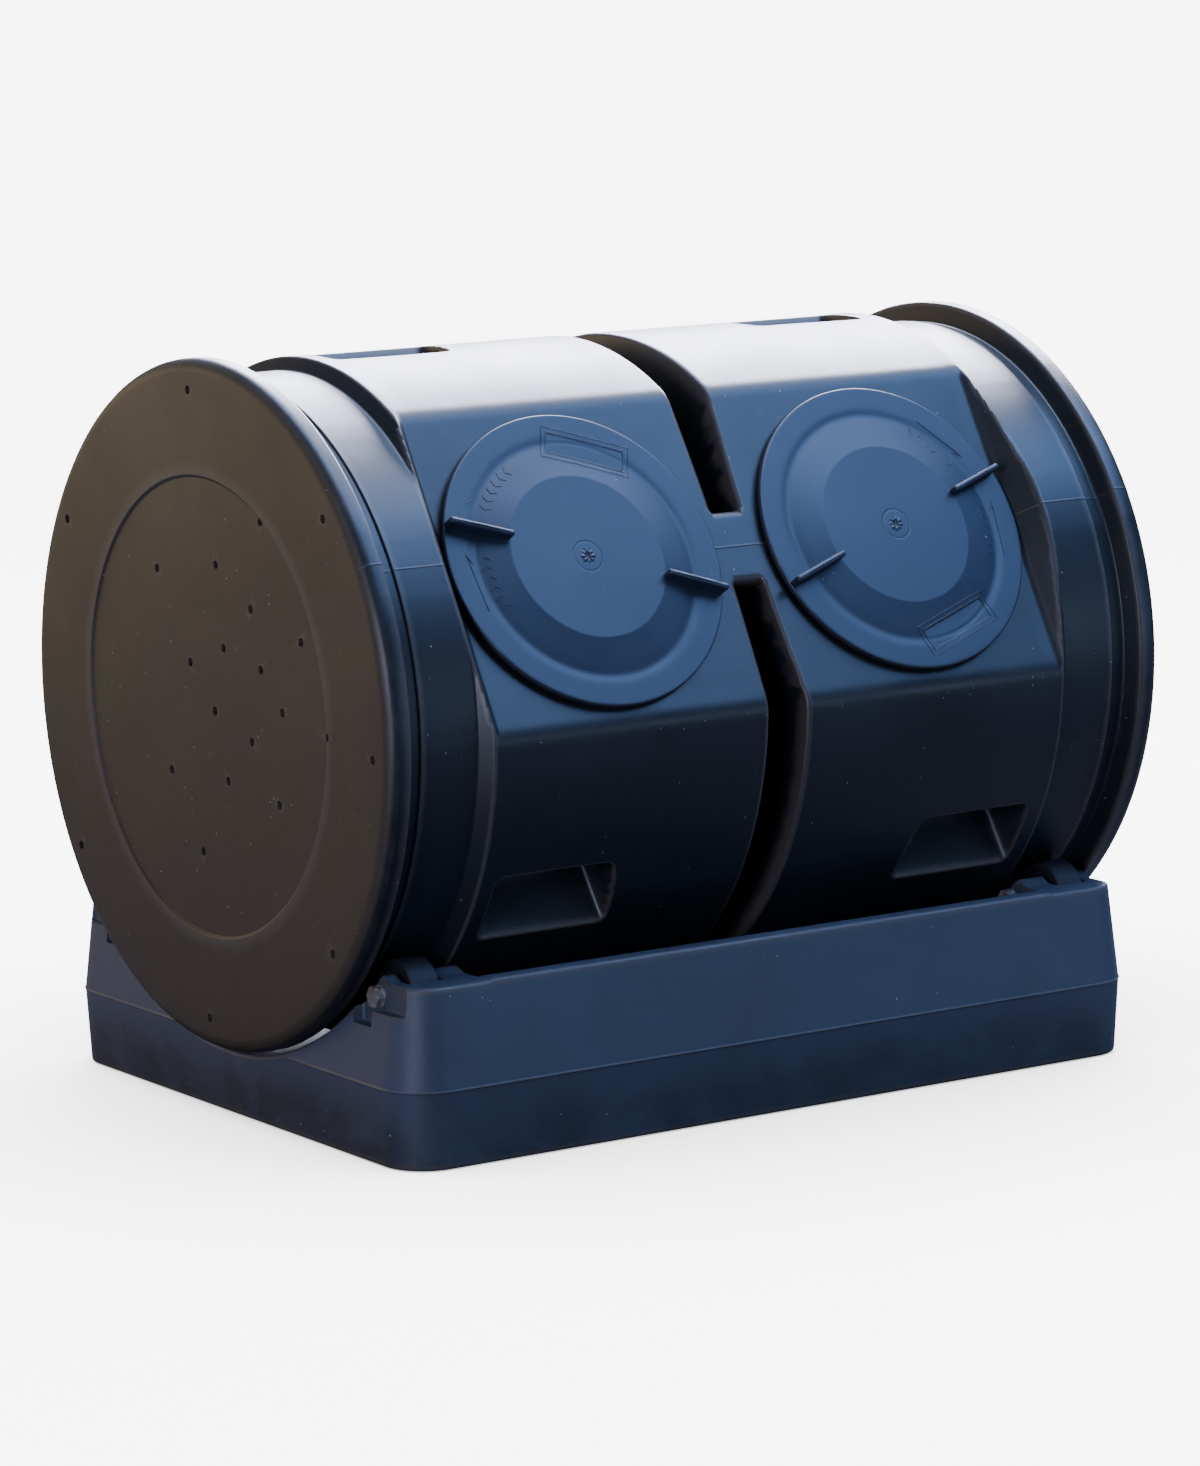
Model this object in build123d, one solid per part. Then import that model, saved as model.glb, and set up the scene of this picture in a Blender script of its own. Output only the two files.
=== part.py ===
"""Twin-chamber compost tumbler: a moulded drum with two twist-off lids, rolling on a tea-collecting base.

Frame: millimetres, +Z up, X along the drum's axis, the lids on the -Y side at rest, and the origin on
the ground under the middle of the base. "Facet" means the flat panel that carries the lids.
"""
from build123d import *
import os
from math import cos, radians, sin, tan

# ---- drum ----
AXIS_Z = 367.0            # height of the drum's axis above the ground
WALL = 5.0                # moulded wall thickness of drum and base
DRUM_HALF = 414.0         # half the drum's length
RIM_R = 305.0             # end flange, the drum's largest radius
RIM_ROUND = 12.0
BODY_R = 300.0            # raised middle section
BODY_HALF = 306.0
BODY_FOOT = 316.0         # where the body's end wall meets the track
TRACK_R = 288.0           # band that runs on the rollers
TRACK_END = 372.0
BAND_R = 286.0            # narrow band between track and flange
RIM_FOOT = 386.0
RIM_START = 392.0
TRACK_STEP = 1.5          # length of the small slope from track to band
END_RECESS_R = 206.0      # shallow disc pressed into each end
END_RECESS = 2.0

SLOT_R = 120.0            # floor of the groove between the chambers
SLOT_TOP = 19.0           # half-width of the groove at the body's surface
SLOT_FLOOR = 8.0          # half-width of the groove at its floor
WEB_UP = 32.0             # half-height of the bridge across the groove on the facet
WEB_DEEP = 34.0

FACET_TILT = 30.0         # the facet's normal points this far above the horizontal
FACET_D = 259.5           # distance of the facet from the drum's axis
FACET_HALF = 303.0
FACET_WALL_SLOPE = 32.0   # lean of the facet's end walls, degrees

POCKET_NEAR = 155.0       # hand pockets: ends, along the drum
POCKET_FAR = 297.0
POCKET_TOP = -24.5        # angles round the drum, from the front, of the pocket's two lips
POCKET_LOW = -38.5
POCKET_PULL = -60.0       # direction the pocket's walls follow
POCKET_FLOOR = 225.0      # distance of the pocket's floor from the axis, along the pull

VENT_R = 4.0
OUTER_VENT_R = 278.0
OUTER_VENTS = (-91, -42, -2, 42, 93, 149, 214)
INNER_VENTS = (           # (radius, angle): drilled by hand, so the spacing is irregular
    (15, -5), (45, 125), (65, 60), (70, -60), (80, -15), (90, -135), (105, 25), (125, 50),
    (130, 5), (130, 80), (130, -95), (140, -30), (140, 125), (180, 25), (200, 60), (204, 0),
)

# ---- mouths, collars and lids, in the facet's own directions ----
MOUTH_X = 166.0
NECK_R = 117.5            # outside of the collar's neck
NECK_BORE = 108.0
NECK_BOTTOM = 238.0
COLLAR_R = 131.0
COLLAR_T = 2.5
COLLAR_SCREWS = 8
COLLAR_SCREW_PCD_R = 125.0
COLLAR_SCREW_R = 2.0
COLLAR_SCREW_HEAD_R = 4.0
COLLAR_SCREW_LENGTH = 16.0
COLLAR_SCREW_SLOT = (4.6, 1.0, 1.3)

LID_R = 137.0
LID_TOP = 266.7           # distance of the lid's flat ring from the drum's axis
LID_T = 3.0
LID_LIP_BOTTOM = 261.5
LID_LIP_T = 3.5
LID_CONE_R = 106.0
LID_DISC_R = 76.0
LID_RISE = 5.6            # height of the middle disc above the flat ring
SKIRT_R = 107.5
SKIRT_T = 4.0
SKIRT_BOTTOM = 247.4
FIN_LENGTH = 61.0
FIN_T = 6.0
FIN_RISE = 15.0
FIN_INSET = 0.5
LABEL_SIZE = (86.0, 30.0)
LABEL_R = 104.0
LABEL_RISE = 1.2
LID_EDGE = 1.5
LID_TURN = {"left": -19.0, "right": 199.0}
SEAL_IN = 109.0
SEAL_OUT = 118.0

# ---- base ----
BASE_HALF_X = 398.0       # at the parting line, the widest level
BASE_HALF_Y = 296.0
BASE_PART_Z = 69.0
BASE_TOP = 157.0
BASE_TOP_DRAFT = 10.0
BASE_FOOT_DRAFT = 4.0
BASE_CORNER = 46.0
CRADLE_R = 308.5          # clears the drum's flange
TROUGH_R = 338.0          # clears the drum's body
TROUGH_Z = 38.0           # flat floor of the trough, clear of an unscrewed lid
TROUGH_HALF = 372.0
FAR = 450.0               # past the outside of everything, for cuts
DRIP_R = 7.0
DRIP_X = 200.0

# ---- rollers ----
ROLLER_R = 30.0
ROLLER_GAP = 0.3
ROLLER_X = 351.0
ROLLER_W = 28.0
ROLLER_WEB = (15.0, 23.0) # radii of the sunk web on each face
ROLLER_WEB_DEEP = 5.0
ROLLER_WEB_DRAFT = 2.0
ROLLER_EDGE = 1.5
ROLLER_ANGLE = 45.4       # from straight down, round the drum's axis
SLOT_X = (333.0, 369.0)   # housing slot that holds the roller
HOUSING_X = (303.0, 372.0)
HOUSING_Y = 190.0
HUMP_R = 20.0
HUMP_END = 388.0
ROLLER_ROOM = 2.5
BUSH_R = 9.0
BUSH_LENGTH = 30.0
BUSH_BORE = 5.05
AXLE_R = 5.0
AXLE_HOLE_R = 5.3
WASHER_R = 10.0
WASHER_T = 1.5
HEAD_AF = 17.0
HEAD_T = 6.4
NUT_T = 8.0
BOLT_TAIL = 3.0           # thread showing past the nut
SPACER_GAP = 0.2
RECESS_X = 380.0          # stepped recess in the end wall, round each axle's head
RECESS_Y = (200.0, 228.0, 272.0)
RECESS_Z = (118.0, 132.0)

# ---- drain, in the right-hand end wall ----
DRAIN_Z = 27.0
SPUD_HEX = 44.0
SPUD_T = 6.0
SPUD_FACE = 397.0         # the hexagon's inner face, just clear of the tapered wall
SPUD_SLEEVE = 15.0
SPUD_SLEEVE_R = 15.8
SPUD_HOLE_R = 16.1
SPUD_BORE = 11.0
PLUG_R = 10.7
PLUG_LENGTH = 20.0
PLUG_HEAD_R = 17.0
PLUG_HEAD_T = 8.6
PLUG_SCALLOP_R = 2.0
PLUG_SCALLOPS = 12
DRAIN_GASKET_R = 16.0
DRAIN_GASKET_T = 2.0

# ---- clearances ----
TOUCH = 0.1               # between flat faces that bear on each other
RUN_GAP = 0.3             # between curved faces of different pieces

SIDES = {"left": -1, "right": 1}
ENDS = {"front": -1, "rear": 1}
AXLE_ARM = TRACK_R + ROLLER_GAP + ROLLER_R
AXLE_Y = AXLE_ARM * sin(radians(ROLLER_ANGLE))
AXLE_Z = AXIS_Z - AXLE_ARM * cos(radians(ROLLER_ANGLE))
DRUM_PLACE = Pos(0, 0, AXIS_Z)


# ---- helpers ----
def facet_place(x, d):
    """Place on the facet's normal at distance d from the drum's axis; local y runs up the facet."""
    tilt = radians(FACET_TILT)
    normal = (0, -cos(tilt), sin(tilt))
    return Plane(origin=(x, normal[1] * d, normal[2] * d), x_dir=(1, 0, 0), z_dir=normal).location


def round_drum(angle, radius):
    """Point (y, z) round the drum's axis; the angle starts at the front and rises."""
    return (-radius * cos(radians(angle)), radius * sin(radians(angle)))


def spin_profile(*points):
    """Solid of revolution about the X axis from (x, radius) points."""
    return revolve(Plane.XZ * make_face(Polyline(*points, close=True)), Axis.X)


def tube(outer, inner, height):
    """Ring standing on the XY plane."""
    return extrude(Circle(outer) - Circle(inner), height)


def x_rod(radius, x0, x1, y=0.0, z=0.0):
    """Round bar along X."""
    return extrude(Plane(origin=(x0, y, z), x_dir=(0, 1, 0), z_dir=(1, 0, 0)) * Circle(radius), x1 - x0)


def x_hex(across_flats, x0, x1, y, z):
    """Hexagonal bar along X."""
    hexagon = RegularPolygon(across_flats / 2, 6, major_radius=False)
    return extrude(Plane(origin=(x0, y, z), x_dir=(0, 1, 0), z_dir=(1, 0, 0)) * hexagon, x1 - x0)


def slab(x0, x1, y0, y1, z0, z1):
    """Box from its two corners."""
    return Pos((x0 + x1) / 2, (y0 + y1) / 2, (z0 + z1) / 2) * Box(x1 - x0, y1 - y0, z1 - z0)


def flip_x(shape):
    return mirror(shape, about=Plane.YZ)


def flip_facet(shape):
    """Mirror image across the plane through the drum's axis and the middle of the facet."""
    tilt = radians(FACET_TILT)
    middle = Plane(origin=(0, 0, 0), x_dir=(1, 0, 0), z_dir=(0, sin(tilt), cos(tilt)))
    return mirror(shape, about=middle)


# ---- drum, modelled about its own axis as the +X half ----
def drum_skin():
    """Outside of half a drum, without its cuts."""
    points = [
        (0, 0), (0, BODY_R), (BODY_HALF, BODY_R), (BODY_FOOT, TRACK_R), (TRACK_END, TRACK_R),
        (TRACK_END + TRACK_STEP, BAND_R), (RIM_FOOT, BAND_R), (RIM_START, RIM_R), (DRUM_HALF, RIM_R),
        (DRUM_HALF, END_RECESS_R), (DRUM_HALF - END_RECESS, END_RECESS_R - END_RECESS),
        (DRUM_HALF - END_RECESS, 0),
    ]
    skin = spin_profile(*points)
    rim_edge = skin.edges().filter_by(GeomType.CIRCLE).sort_by(lambda e: (e.center().X, e.radius))[-1]
    return fillet(rim_edge, RIM_ROUND)


def drum_hollow():
    """Inside of one chamber, before the cuts' own walls are kept."""
    rim_in = DRUM_HALF - END_RECESS - WALL
    points = [
        (WALL, 0), (WALL, SLOT_R - WALL), (SLOT_FLOOR + WALL, SLOT_R - WALL),
        (SLOT_TOP + WALL, BODY_R - WALL), (BODY_HALF - WALL / 2, BODY_R - WALL),
        (BODY_FOOT - WALL / 2, TRACK_R - WALL), (RIM_FOOT - WALL, BAND_R - WALL),
        (rim_in, BAND_R - WALL), (rim_in, 0),
    ]
    return spin_profile(*points)


def groove():
    """Half of the groove between the chambers, left out where the web bridges it."""
    slope = (SLOT_TOP - SLOT_FLOOR) / (BODY_R - SLOT_R)
    top = BODY_R + RIM_ROUND
    wide = SLOT_TOP + RIM_ROUND * slope
    cut = spin_profile((0, SLOT_R), (SLOT_FLOOR, SLOT_R), (wide, top), (0, top))
    web = facet_place(0, FACET_D - WEB_DEEP) * Box(4 * SLOT_TOP, 2 * WEB_UP, 2 * WEB_DEEP, align=(
        Align.CENTER, Align.CENTER, Align.MIN))
    return cut - web


def facet_cut(grow):
    """Everything outside the facet; grow moves its floor in and its end wall out by a wall thickness."""
    height = BODY_R - FACET_D + 2 * RIM_ROUND
    lean = height * tan(radians(FACET_WALL_SLOPE))
    end = FACET_HALF + grow / cos(radians(FACET_WALL_SLOPE))
    section = make_face(Polyline((-1, 0), (end, 0), (end + lean, height), (-1, height), close=True))
    prism = extrude(Plane.XZ * section, BODY_R, both=True)
    return facet_place(0, FACET_D - grow) * prism


def pocket(grow):
    """Hand pocket below the facet: a slot whose walls follow the pull direction."""
    pull = radians(POCKET_PULL)
    out = (0, -cos(pull), sin(pull))
    top = Vector(0, *round_drum(POCKET_TOP, BODY_R))
    low = Vector(0, *round_drum(POCKET_LOW, BODY_R))
    floor = Plane(origin=(0, out[1] * (POCKET_FLOOR - grow), out[2] * (POCKET_FLOOR - grow)),
                  x_dir=(1, 0, 0), z_dir=out)
    v_top = floor.to_local_coords(top).Y
    v_low = floor.to_local_coords(low).Y
    middle = floor * Pos((POCKET_NEAR + POCKET_FAR) / 2, (v_top + v_low) / 2)
    size = (POCKET_FAR - POCKET_NEAR + 2 * grow, abs(v_top - v_low) + 2 * grow)
    return middle * Box(size[0], size[1], BODY_R, align=(Align.CENTER, Align.CENTER, Align.MIN))


def vents():
    """Air holes through the drum's end."""
    rings = [(OUTER_VENT_R, angle) for angle in OUTER_VENTS] + list(INNER_VENTS)
    holes = []
    for radius, angle in rings:
        y, z = round_drum(angle, radius)
        holes.append(x_rod(VENT_R, DRUM_HALF - END_RECESS - 2 * WALL, DRUM_HALF + 1, y, z))
    return holes


def collar_screw_places(x):
    """Places of a collar's screws on the facet, local z along the facet's normal."""
    places = []
    for i in range(COLLAR_SCREWS):
        turn = Rot(0, 0, (i + 0.5) * 360 / COLLAR_SCREWS)
        places.append(facet_place(x, FACET_D + COLLAR_T) * turn * Pos(COLLAR_SCREW_PCD_R, 0))
    return places


def drum_shell():
    solid = drum_skin() - groove() - facet_cut(0) - pocket(0) - flip_facet(pocket(0))
    hollow = drum_hollow() - facet_cut(WALL) - pocket(WALL) - flip_facet(pocket(WALL))
    mouth = facet_place(MOUTH_X, FACET_D) * Cylinder(NECK_R + 2 * TOUCH, 6 * WALL)
    half = solid - hollow - mouth
    for hole in vents():
        half -= hole
    for place in collar_screw_places(MOUTH_X):
        half -= place * Cylinder(COLLAR_SCREW_R + TOUCH, 4 * WALL)
    return DRUM_PLACE * (half + flip_x(half))


# ---- collars and lids ----
def collar(x):
    """Ring screwed to the facet, with the neck that takes the lid's skirt."""
    flange = facet_place(x, FACET_D) * tube(COLLAR_R, NECK_BORE, COLLAR_T)
    neck = facet_place(x, NECK_BOTTOM) * tube(NECK_R, NECK_BORE, FACET_D - NECK_BOTTOM + COLLAR_T)
    body = flange + neck
    for place in collar_screw_places(x):
        body -= place * Cylinder(COLLAR_SCREW_R + TOUCH, 4 * COLLAR_T)
        body -= place * screw_head(TOUCH)
    return DRUM_PLACE * body


def screw_head(grow):
    """Countersunk head, its flat top at z = 0."""
    depth = COLLAR_SCREW_HEAD_R - COLLAR_SCREW_R
    radius = COLLAR_SCREW_R + grow
    return Cone(radius, radius + depth, depth, align=(Align.CENTER, Align.CENTER, Align.MAX))


def collar_screws(x):
    screws = []
    shank = Cylinder(COLLAR_SCREW_R, COLLAR_SCREW_LENGTH, align=(Align.CENTER, Align.CENTER, Align.MAX))
    slot = Box(*COLLAR_SCREW_SLOT)
    for place in collar_screw_places(x):
        screws.append(DRUM_PLACE * place * (shank + screw_head(0) - slot))
    return Compound(children=screws)


def lid(side):
    """Twist-off lid: flat ring, cone and raised disc, a skirt, two grip fins and a blank label plate."""
    bottom = LID_TOP - LID_T
    outline = [
        (0, LID_TOP + LID_RISE), (LID_DISC_R, LID_TOP + LID_RISE), (LID_CONE_R, LID_TOP),
        (LID_R - LID_EDGE, LID_TOP), (LID_R, LID_TOP - LID_EDGE), (LID_R, LID_LIP_BOTTOM),
        (LID_R - LID_LIP_T, LID_LIP_BOTTOM), (LID_R - LID_LIP_T, bottom), (SKIRT_R, bottom),
        (SKIRT_R, SKIRT_BOTTOM), (SKIRT_R - SKIRT_T, SKIRT_BOTTOM), (SKIRT_R - SKIRT_T, bottom),
        (LID_DISC_R, bottom + LID_RISE), (0, bottom + LID_RISE),
    ]
    plate = revolve(Plane.XZ * make_face(Polyline(*outline, close=True)), Axis.Z)
    fin = Box(FIN_LENGTH, FIN_T, FIN_RISE + LID_T, align=(Align.CENTER, Align.CENTER, Align.MAX))
    for end in (-1, 1):
        plate += Pos(end * (LID_R - FIN_LENGTH / 2 - FIN_INSET), 0, LID_TOP + FIN_RISE) * fin
    label = Box(*LABEL_SIZE, LID_T / 2 + LABEL_RISE, align=(Align.CENTER, Align.CENTER, Align.MAX))
    plate += Pos(0, LABEL_R, LID_TOP + LABEL_RISE) * label
    return DRUM_PLACE * facet_place(SIDES[side] * MOUTH_X, 0) * Rot(0, 0, LID_TURN[side]) * plate


def lid_seal(x):
    thickness = (LID_TOP - LID_T) - (FACET_D + COLLAR_T) - 2 * TOUCH
    return DRUM_PLACE * facet_place(x, FACET_D + COLLAR_T + TOUCH) * tube(SEAL_OUT, SEAL_IN, thickness)


# ---- base ----
def base_outline(half_x, half_y, corner, z):
    return Plane.XY.offset(z) * RectangleRounded(2 * half_x, 2 * half_y, corner)


def base_block(grow):
    """Tapered block above and below the parting line; grow is negative for the space inside."""
    corner = BASE_CORNER + grow
    widest = base_outline(BASE_HALF_X + grow, BASE_HALF_Y + grow, corner, BASE_PART_Z)
    top = base_outline(BASE_HALF_X - BASE_TOP_DRAFT + grow, BASE_HALF_Y - BASE_TOP_DRAFT + grow, corner,
                       BASE_TOP + grow)
    foot = base_outline(BASE_HALF_X - BASE_FOOT_DRAFT + grow, BASE_HALF_Y - BASE_FOOT_DRAFT + grow, corner,
                        -grow)
    return loft([widest, top]) + loft([foot, widest])


def drum_room(radius, half_length):
    return x_rod(radius, -half_length, half_length, 0, AXIS_Z)


def corner_copy(shape, side, end):
    """The rear right corner's piece, moved to another corner."""
    if (side, end) == ("right", "rear"):
        return shape
    if (side, end) == ("left", "front"):
        return Rot(0, 0, 180) * shape
    return flip_x(shape) if side == "left" else mirror(shape, about=Plane.XZ)


def at_corners(shape):
    """The shape, made for the rear right corner, at all four corners."""
    return [corner_copy(shape, side, end) for side in SIDES for end in ENDS]


def ground(z):
    """Everything below a level."""
    return slab(-FAR, FAR, -FAR, FAR, -FAR, z)


def trough():
    """Room under the drum's body, down to a flat floor."""
    return drum_room(TROUGH_R, TROUGH_HALF) - ground(TROUGH_Z)


def base_tank():
    block = base_block(0)
    hump = x_rod(HUMP_R, HOUSING_X[0], HUMP_END, AXLE_Y, AXLE_Z)
    for corner in at_corners(hump):
        block += corner
    room = trough()
    for corner in at_corners(slab(*HOUSING_X, HOUSING_Y, FAR, 0, FAR)):
        room -= corner
    block -= room
    block -= drum_room(CRADLE_R, FAR)

    inner = base_block(-WALL) - drum_room(CRADLE_R + WALL, FAR)
    inner -= drum_room(TROUGH_R + WALL, TROUGH_HALF + WALL) - ground(TROUGH_Z - WALL)
    for corner in at_corners(slab(HOUSING_X[0] - WALL, FAR, HOUSING_Y - WALL, FAR, BASE_PART_Z, FAR)):
        inner -= corner
    block -= inner

    wheel_slot = x_rod(ROLLER_R + ROLLER_ROOM, *SLOT_X, AXLE_Y, AXLE_Z)
    axle_hole = x_rod(AXLE_HOLE_R, HOUSING_X[0] - 1, BASE_HALF_X, AXLE_Y, AXLE_Z)
    recess = slab(RECESS_X, FAR, RECESS_Y[0], RECESS_Y[1], RECESS_Z[0], FAR)
    recess += slab(RECESS_X, FAR, RECESS_Y[1], RECESS_Y[2], RECESS_Z[1], FAR)
    for cut in (wheel_slot, axle_hole, recess):
        for corner in at_corners(cut):
            block -= corner
    for x in (-DRIP_X, 0, DRIP_X):
        block -= Pos(x, 0, TROUGH_Z) * Cylinder(DRIP_R, 4 * WALL)
    block -= x_rod(SPUD_HOLE_R, SPUD_FACE - SPUD_SLEEVE, SPUD_FACE + SPUD_T, 0, DRAIN_Z)
    return block


# ---- rollers and their axles, made for the rear right corner ----
def roller():
    """Wheel with a rim each side of a shallow web, bored for its bush."""
    x0, x1 = ROLLER_X - ROLLER_W / 2, ROLLER_X + ROLLER_W / 2
    web_in, web_out = ROLLER_WEB
    face = [
        (0, BUSH_R), (0, web_in - ROLLER_WEB_DRAFT), (ROLLER_WEB_DEEP, web_in), (ROLLER_WEB_DEEP, web_out),
        (0, web_out + ROLLER_WEB_DRAFT), (0, ROLLER_R - ROLLER_EDGE), (ROLLER_EDGE, ROLLER_R),
    ]
    near = [(x0 + deep, radius) for deep, radius in face]
    far = [(x1 - deep, radius) for deep, radius in reversed(face)]
    return Pos(0, AXLE_Y, AXLE_Z) * spin_profile(*near, *far)


def roller_bush():
    x0, x1 = ROLLER_X - BUSH_LENGTH / 2, ROLLER_X + BUSH_LENGTH / 2
    return x_rod(BUSH_R, x0, x1, AXLE_Y, AXLE_Z) - x_rod(BUSH_BORE, x0, x1, AXLE_Y, AXLE_Z)


def axle_bolt():
    head_x = RECESS_X + WASHER_T
    shank = x_rod(AXLE_R, HOUSING_X[0] - WASHER_T - NUT_T - BOLT_TAIL, head_x, AXLE_Y, AXLE_Z)
    return shank + x_hex(HEAD_AF, head_x, head_x + HEAD_T, AXLE_Y, AXLE_Z)


def washer(x0):
    x1 = x0 + WASHER_T
    return x_rod(WASHER_R, x0, x1, AXLE_Y, AXLE_Z) - x_rod(AXLE_HOLE_R, x0, x1, AXLE_Y, AXLE_Z)


def lock_nut():
    x1 = HOUSING_X[0] - WASHER_T
    return x_hex(HEAD_AF, x1 - NUT_T, x1, AXLE_Y, AXLE_Z) - x_rod(AXLE_R, x1 - NUT_T, x1, AXLE_Y, AXLE_Z)


def group(shape):
    return Compound(children=at_corners(shape))


# ---- drain, in the right-hand end wall ----
def drain_spud():
    """Threaded fitting clamped in the end wall: a hexagonal flange outside, a sleeve through the wall."""
    body = x_hex(SPUD_HEX, SPUD_FACE, SPUD_FACE + SPUD_T, 0, DRAIN_Z)
    body += x_rod(SPUD_SLEEVE_R, SPUD_FACE - SPUD_SLEEVE, SPUD_FACE, 0, DRAIN_Z)
    return body - x_rod(SPUD_BORE, SPUD_FACE - SPUD_SLEEVE, SPUD_FACE + SPUD_T, 0, DRAIN_Z)


def drain_gasket():
    x0 = SPUD_FACE + SPUD_T + TOUCH
    x1 = x0 + DRAIN_GASKET_T
    return x_rod(DRAIN_GASKET_R, x0, x1, 0, DRAIN_Z) - x_rod(PLUG_R + RUN_GAP, x0, x1, 0, DRAIN_Z)


def drain_plug():
    """Plug with a scalloped head, screwed into the spud."""
    face = SPUD_FACE + SPUD_T + DRAIN_GASKET_T + 2 * TOUCH
    body = x_rod(PLUG_R, face - PLUG_LENGTH, face, 0, DRAIN_Z)
    body += x_rod(PLUG_HEAD_R, face, face + PLUG_HEAD_T, 0, DRAIN_Z)
    scallop = x_rod(PLUG_SCALLOP_R, face, face + PLUG_HEAD_T, 0, PLUG_HEAD_R)
    for i in range(PLUG_SCALLOPS):
        body -= Pos(0, 0, DRAIN_Z) * Rot(i * 360 / PLUG_SCALLOPS, 0, 0) * scallop
    return body


# ---- every node ----
def build():
    nodes = {"drum_shell": drum_shell(), "base_tank": base_tank()}
    for side, sign in SIDES.items():
        nodes["collar_" + side] = collar(sign * MOUTH_X)
        nodes["collar_screws_" + side] = collar_screws(sign * MOUTH_X)
        nodes["lid_" + side] = lid(side)
        nodes["lid_seal_" + side] = lid_seal(sign * MOUTH_X)
        for end in ENDS:
            place = end + "_" + side
            nodes["roller_" + place] = corner_copy(roller(), side, end)
            nodes["roller_bush_" + place] = corner_copy(roller_bush(), side, end)
            nodes["axle_bolt_" + place] = corner_copy(axle_bolt(), side, end)
    nodes["head_washers"] = group(washer(RECESS_X))
    nodes["nut_washers"] = group(washer(HOUSING_X[0] - WASHER_T))
    nodes["spacer_washers"] = Compound(children=at_corners(washer(SLOT_X[0] + SPACER_GAP))
                                       + at_corners(washer(SLOT_X[1] - WASHER_T - SPACER_GAP)))
    nodes["lock_nuts"] = group(lock_nut())
    nodes["drain_spud"] = drain_spud()
    nodes["drain_gasket"] = drain_gasket()
    nodes["drain_plug"] = drain_plug()
    return nodes


os.makedirs("parts", exist_ok=True)
for name, shape in build().items():
    export_step(shape, "parts/" + name + ".step")
    print(name, len(shape.solids()), "solids", round(shape.volume / 1000, 1), "cm3")
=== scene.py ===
"""Looks of a twin-chamber compost tumbler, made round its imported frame.

Outlines are worked out in millimetres about the drum's axis or the ground, and put into the meshes in
metres. "Facet" means the drum's flat panel that carries the lids; angles round the drum start at the
front, level with the axis, and rise.
"""

from math import cos, radians, sin

import bmesh
import bpy
import numpy as np
from mathutils import Matrix, Vector


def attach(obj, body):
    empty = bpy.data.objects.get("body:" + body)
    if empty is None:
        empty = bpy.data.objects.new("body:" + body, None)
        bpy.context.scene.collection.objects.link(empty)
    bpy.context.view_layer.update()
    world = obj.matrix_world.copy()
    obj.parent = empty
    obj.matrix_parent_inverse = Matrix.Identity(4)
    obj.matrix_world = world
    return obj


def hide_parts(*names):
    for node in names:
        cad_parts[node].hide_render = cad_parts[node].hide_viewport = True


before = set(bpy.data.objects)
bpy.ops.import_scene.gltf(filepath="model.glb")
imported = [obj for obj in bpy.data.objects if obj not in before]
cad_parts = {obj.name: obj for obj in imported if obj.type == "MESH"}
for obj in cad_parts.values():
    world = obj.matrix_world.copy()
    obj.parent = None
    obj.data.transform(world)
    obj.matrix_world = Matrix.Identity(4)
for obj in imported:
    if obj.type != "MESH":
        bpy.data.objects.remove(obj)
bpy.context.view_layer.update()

bl_info = {
    "name": "Compost tumbler",
    "version": (1, 0, 0),
    "blender": (4, 5, 0),
    "location": "View3D > Sidebar > Tumbler",
    "description": "Builds the moulded skins, lids and finishes of a compost tumbler round its frame",
    "category": "Object",
}

MM = 0.001
WELD = 1e-7  # in metres
CREASE = 38.0  # edges that turn by more degrees than this are shaded sharp
FLOOR_Z = -0.5
FLOOR_SIDES = 64
SIDES = {"left": -1, "right": 1}
CORNERS = [(side, end) for side in (-1, 1) for end in (-1, 1)]

# ---- drum, in millimetres about its own axis ----
AXIS_Z = 367.0
WALL = 5.0
DRUM_HALF = 414.0
END_DISC = 412.0
END_DISC_R = 203.0
RIM_R = 305.0
RIM_FOOT = 386.0
BAND_R = 286.0
TRACK_R = 288.0
TRACK_END = 372.0
BODY_FOOT = 316.0
BODY_HALF = 306.0
BODY_R = 300.0
SLOT_R = 120.0
SLOT_LIP = 20.5
SLOT_LIP_ROUND = 5.5
SLOT_FLARE = 0.13
SLOT_DEPTH = 210.0
SLOT_WALL = (6.0, 4.0)
POCKET_LIP = (2.5, 4.5, 5.0)
WAVE = 0.45
RIDGE = 0.24
WEB_HALF = 27.0
WEB_LIP_ROUND = 9.0
FACET_TILT = 30.0
FACET_D = 259.5
FACET_HALF = 303.0
FACET_WALL = radians(32)
POCKET_PULL = radians(-60)
POCKET_FLOOR = 225.0
POCKET_TOP = -24.5
POCKET_LOW = -38.5
POCKET_NEAR = 159.0
POCKET_SKEW = 6.0
POCKET_FAR = 290.5
POCKET_DEPTH = 60.0
VENTS = [(278, a) for a in (-91, -42, -2, 42, 93, 149, 214)] + [
    (15, -5), (45, 125), (65, 60), (70, -60), (80, -15), (90, -135), (105, 25), (125, 50),
    (130, 5), (130, 80), (130, -95), (140, -30), (140, 125), (180, 25), (200, 60), (204, 0),
]
MOUTH_X = 166.0

# ---- lids, in millimetres in the facet's own directions, height measured from the drum's axis ----
LID_R = 137.0
LID_TOP = 266.7
LID_CONE_R = 106.0
LID_DISC_R = 76.0
LID_TURN = {"left": -19.0, "right": 199.0}
LABEL_R = 104.0
LABEL = (86.0, 30.0)
THREAD_LEAD = 20.0
THREAD_STARTS = 3
ARROW_R = 118.0
CHEVRON_R = 101.0
MARK_STEP = 1.5
RIB_SINK = 0.6
BLADE_X = LID_R - 31.2

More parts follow.
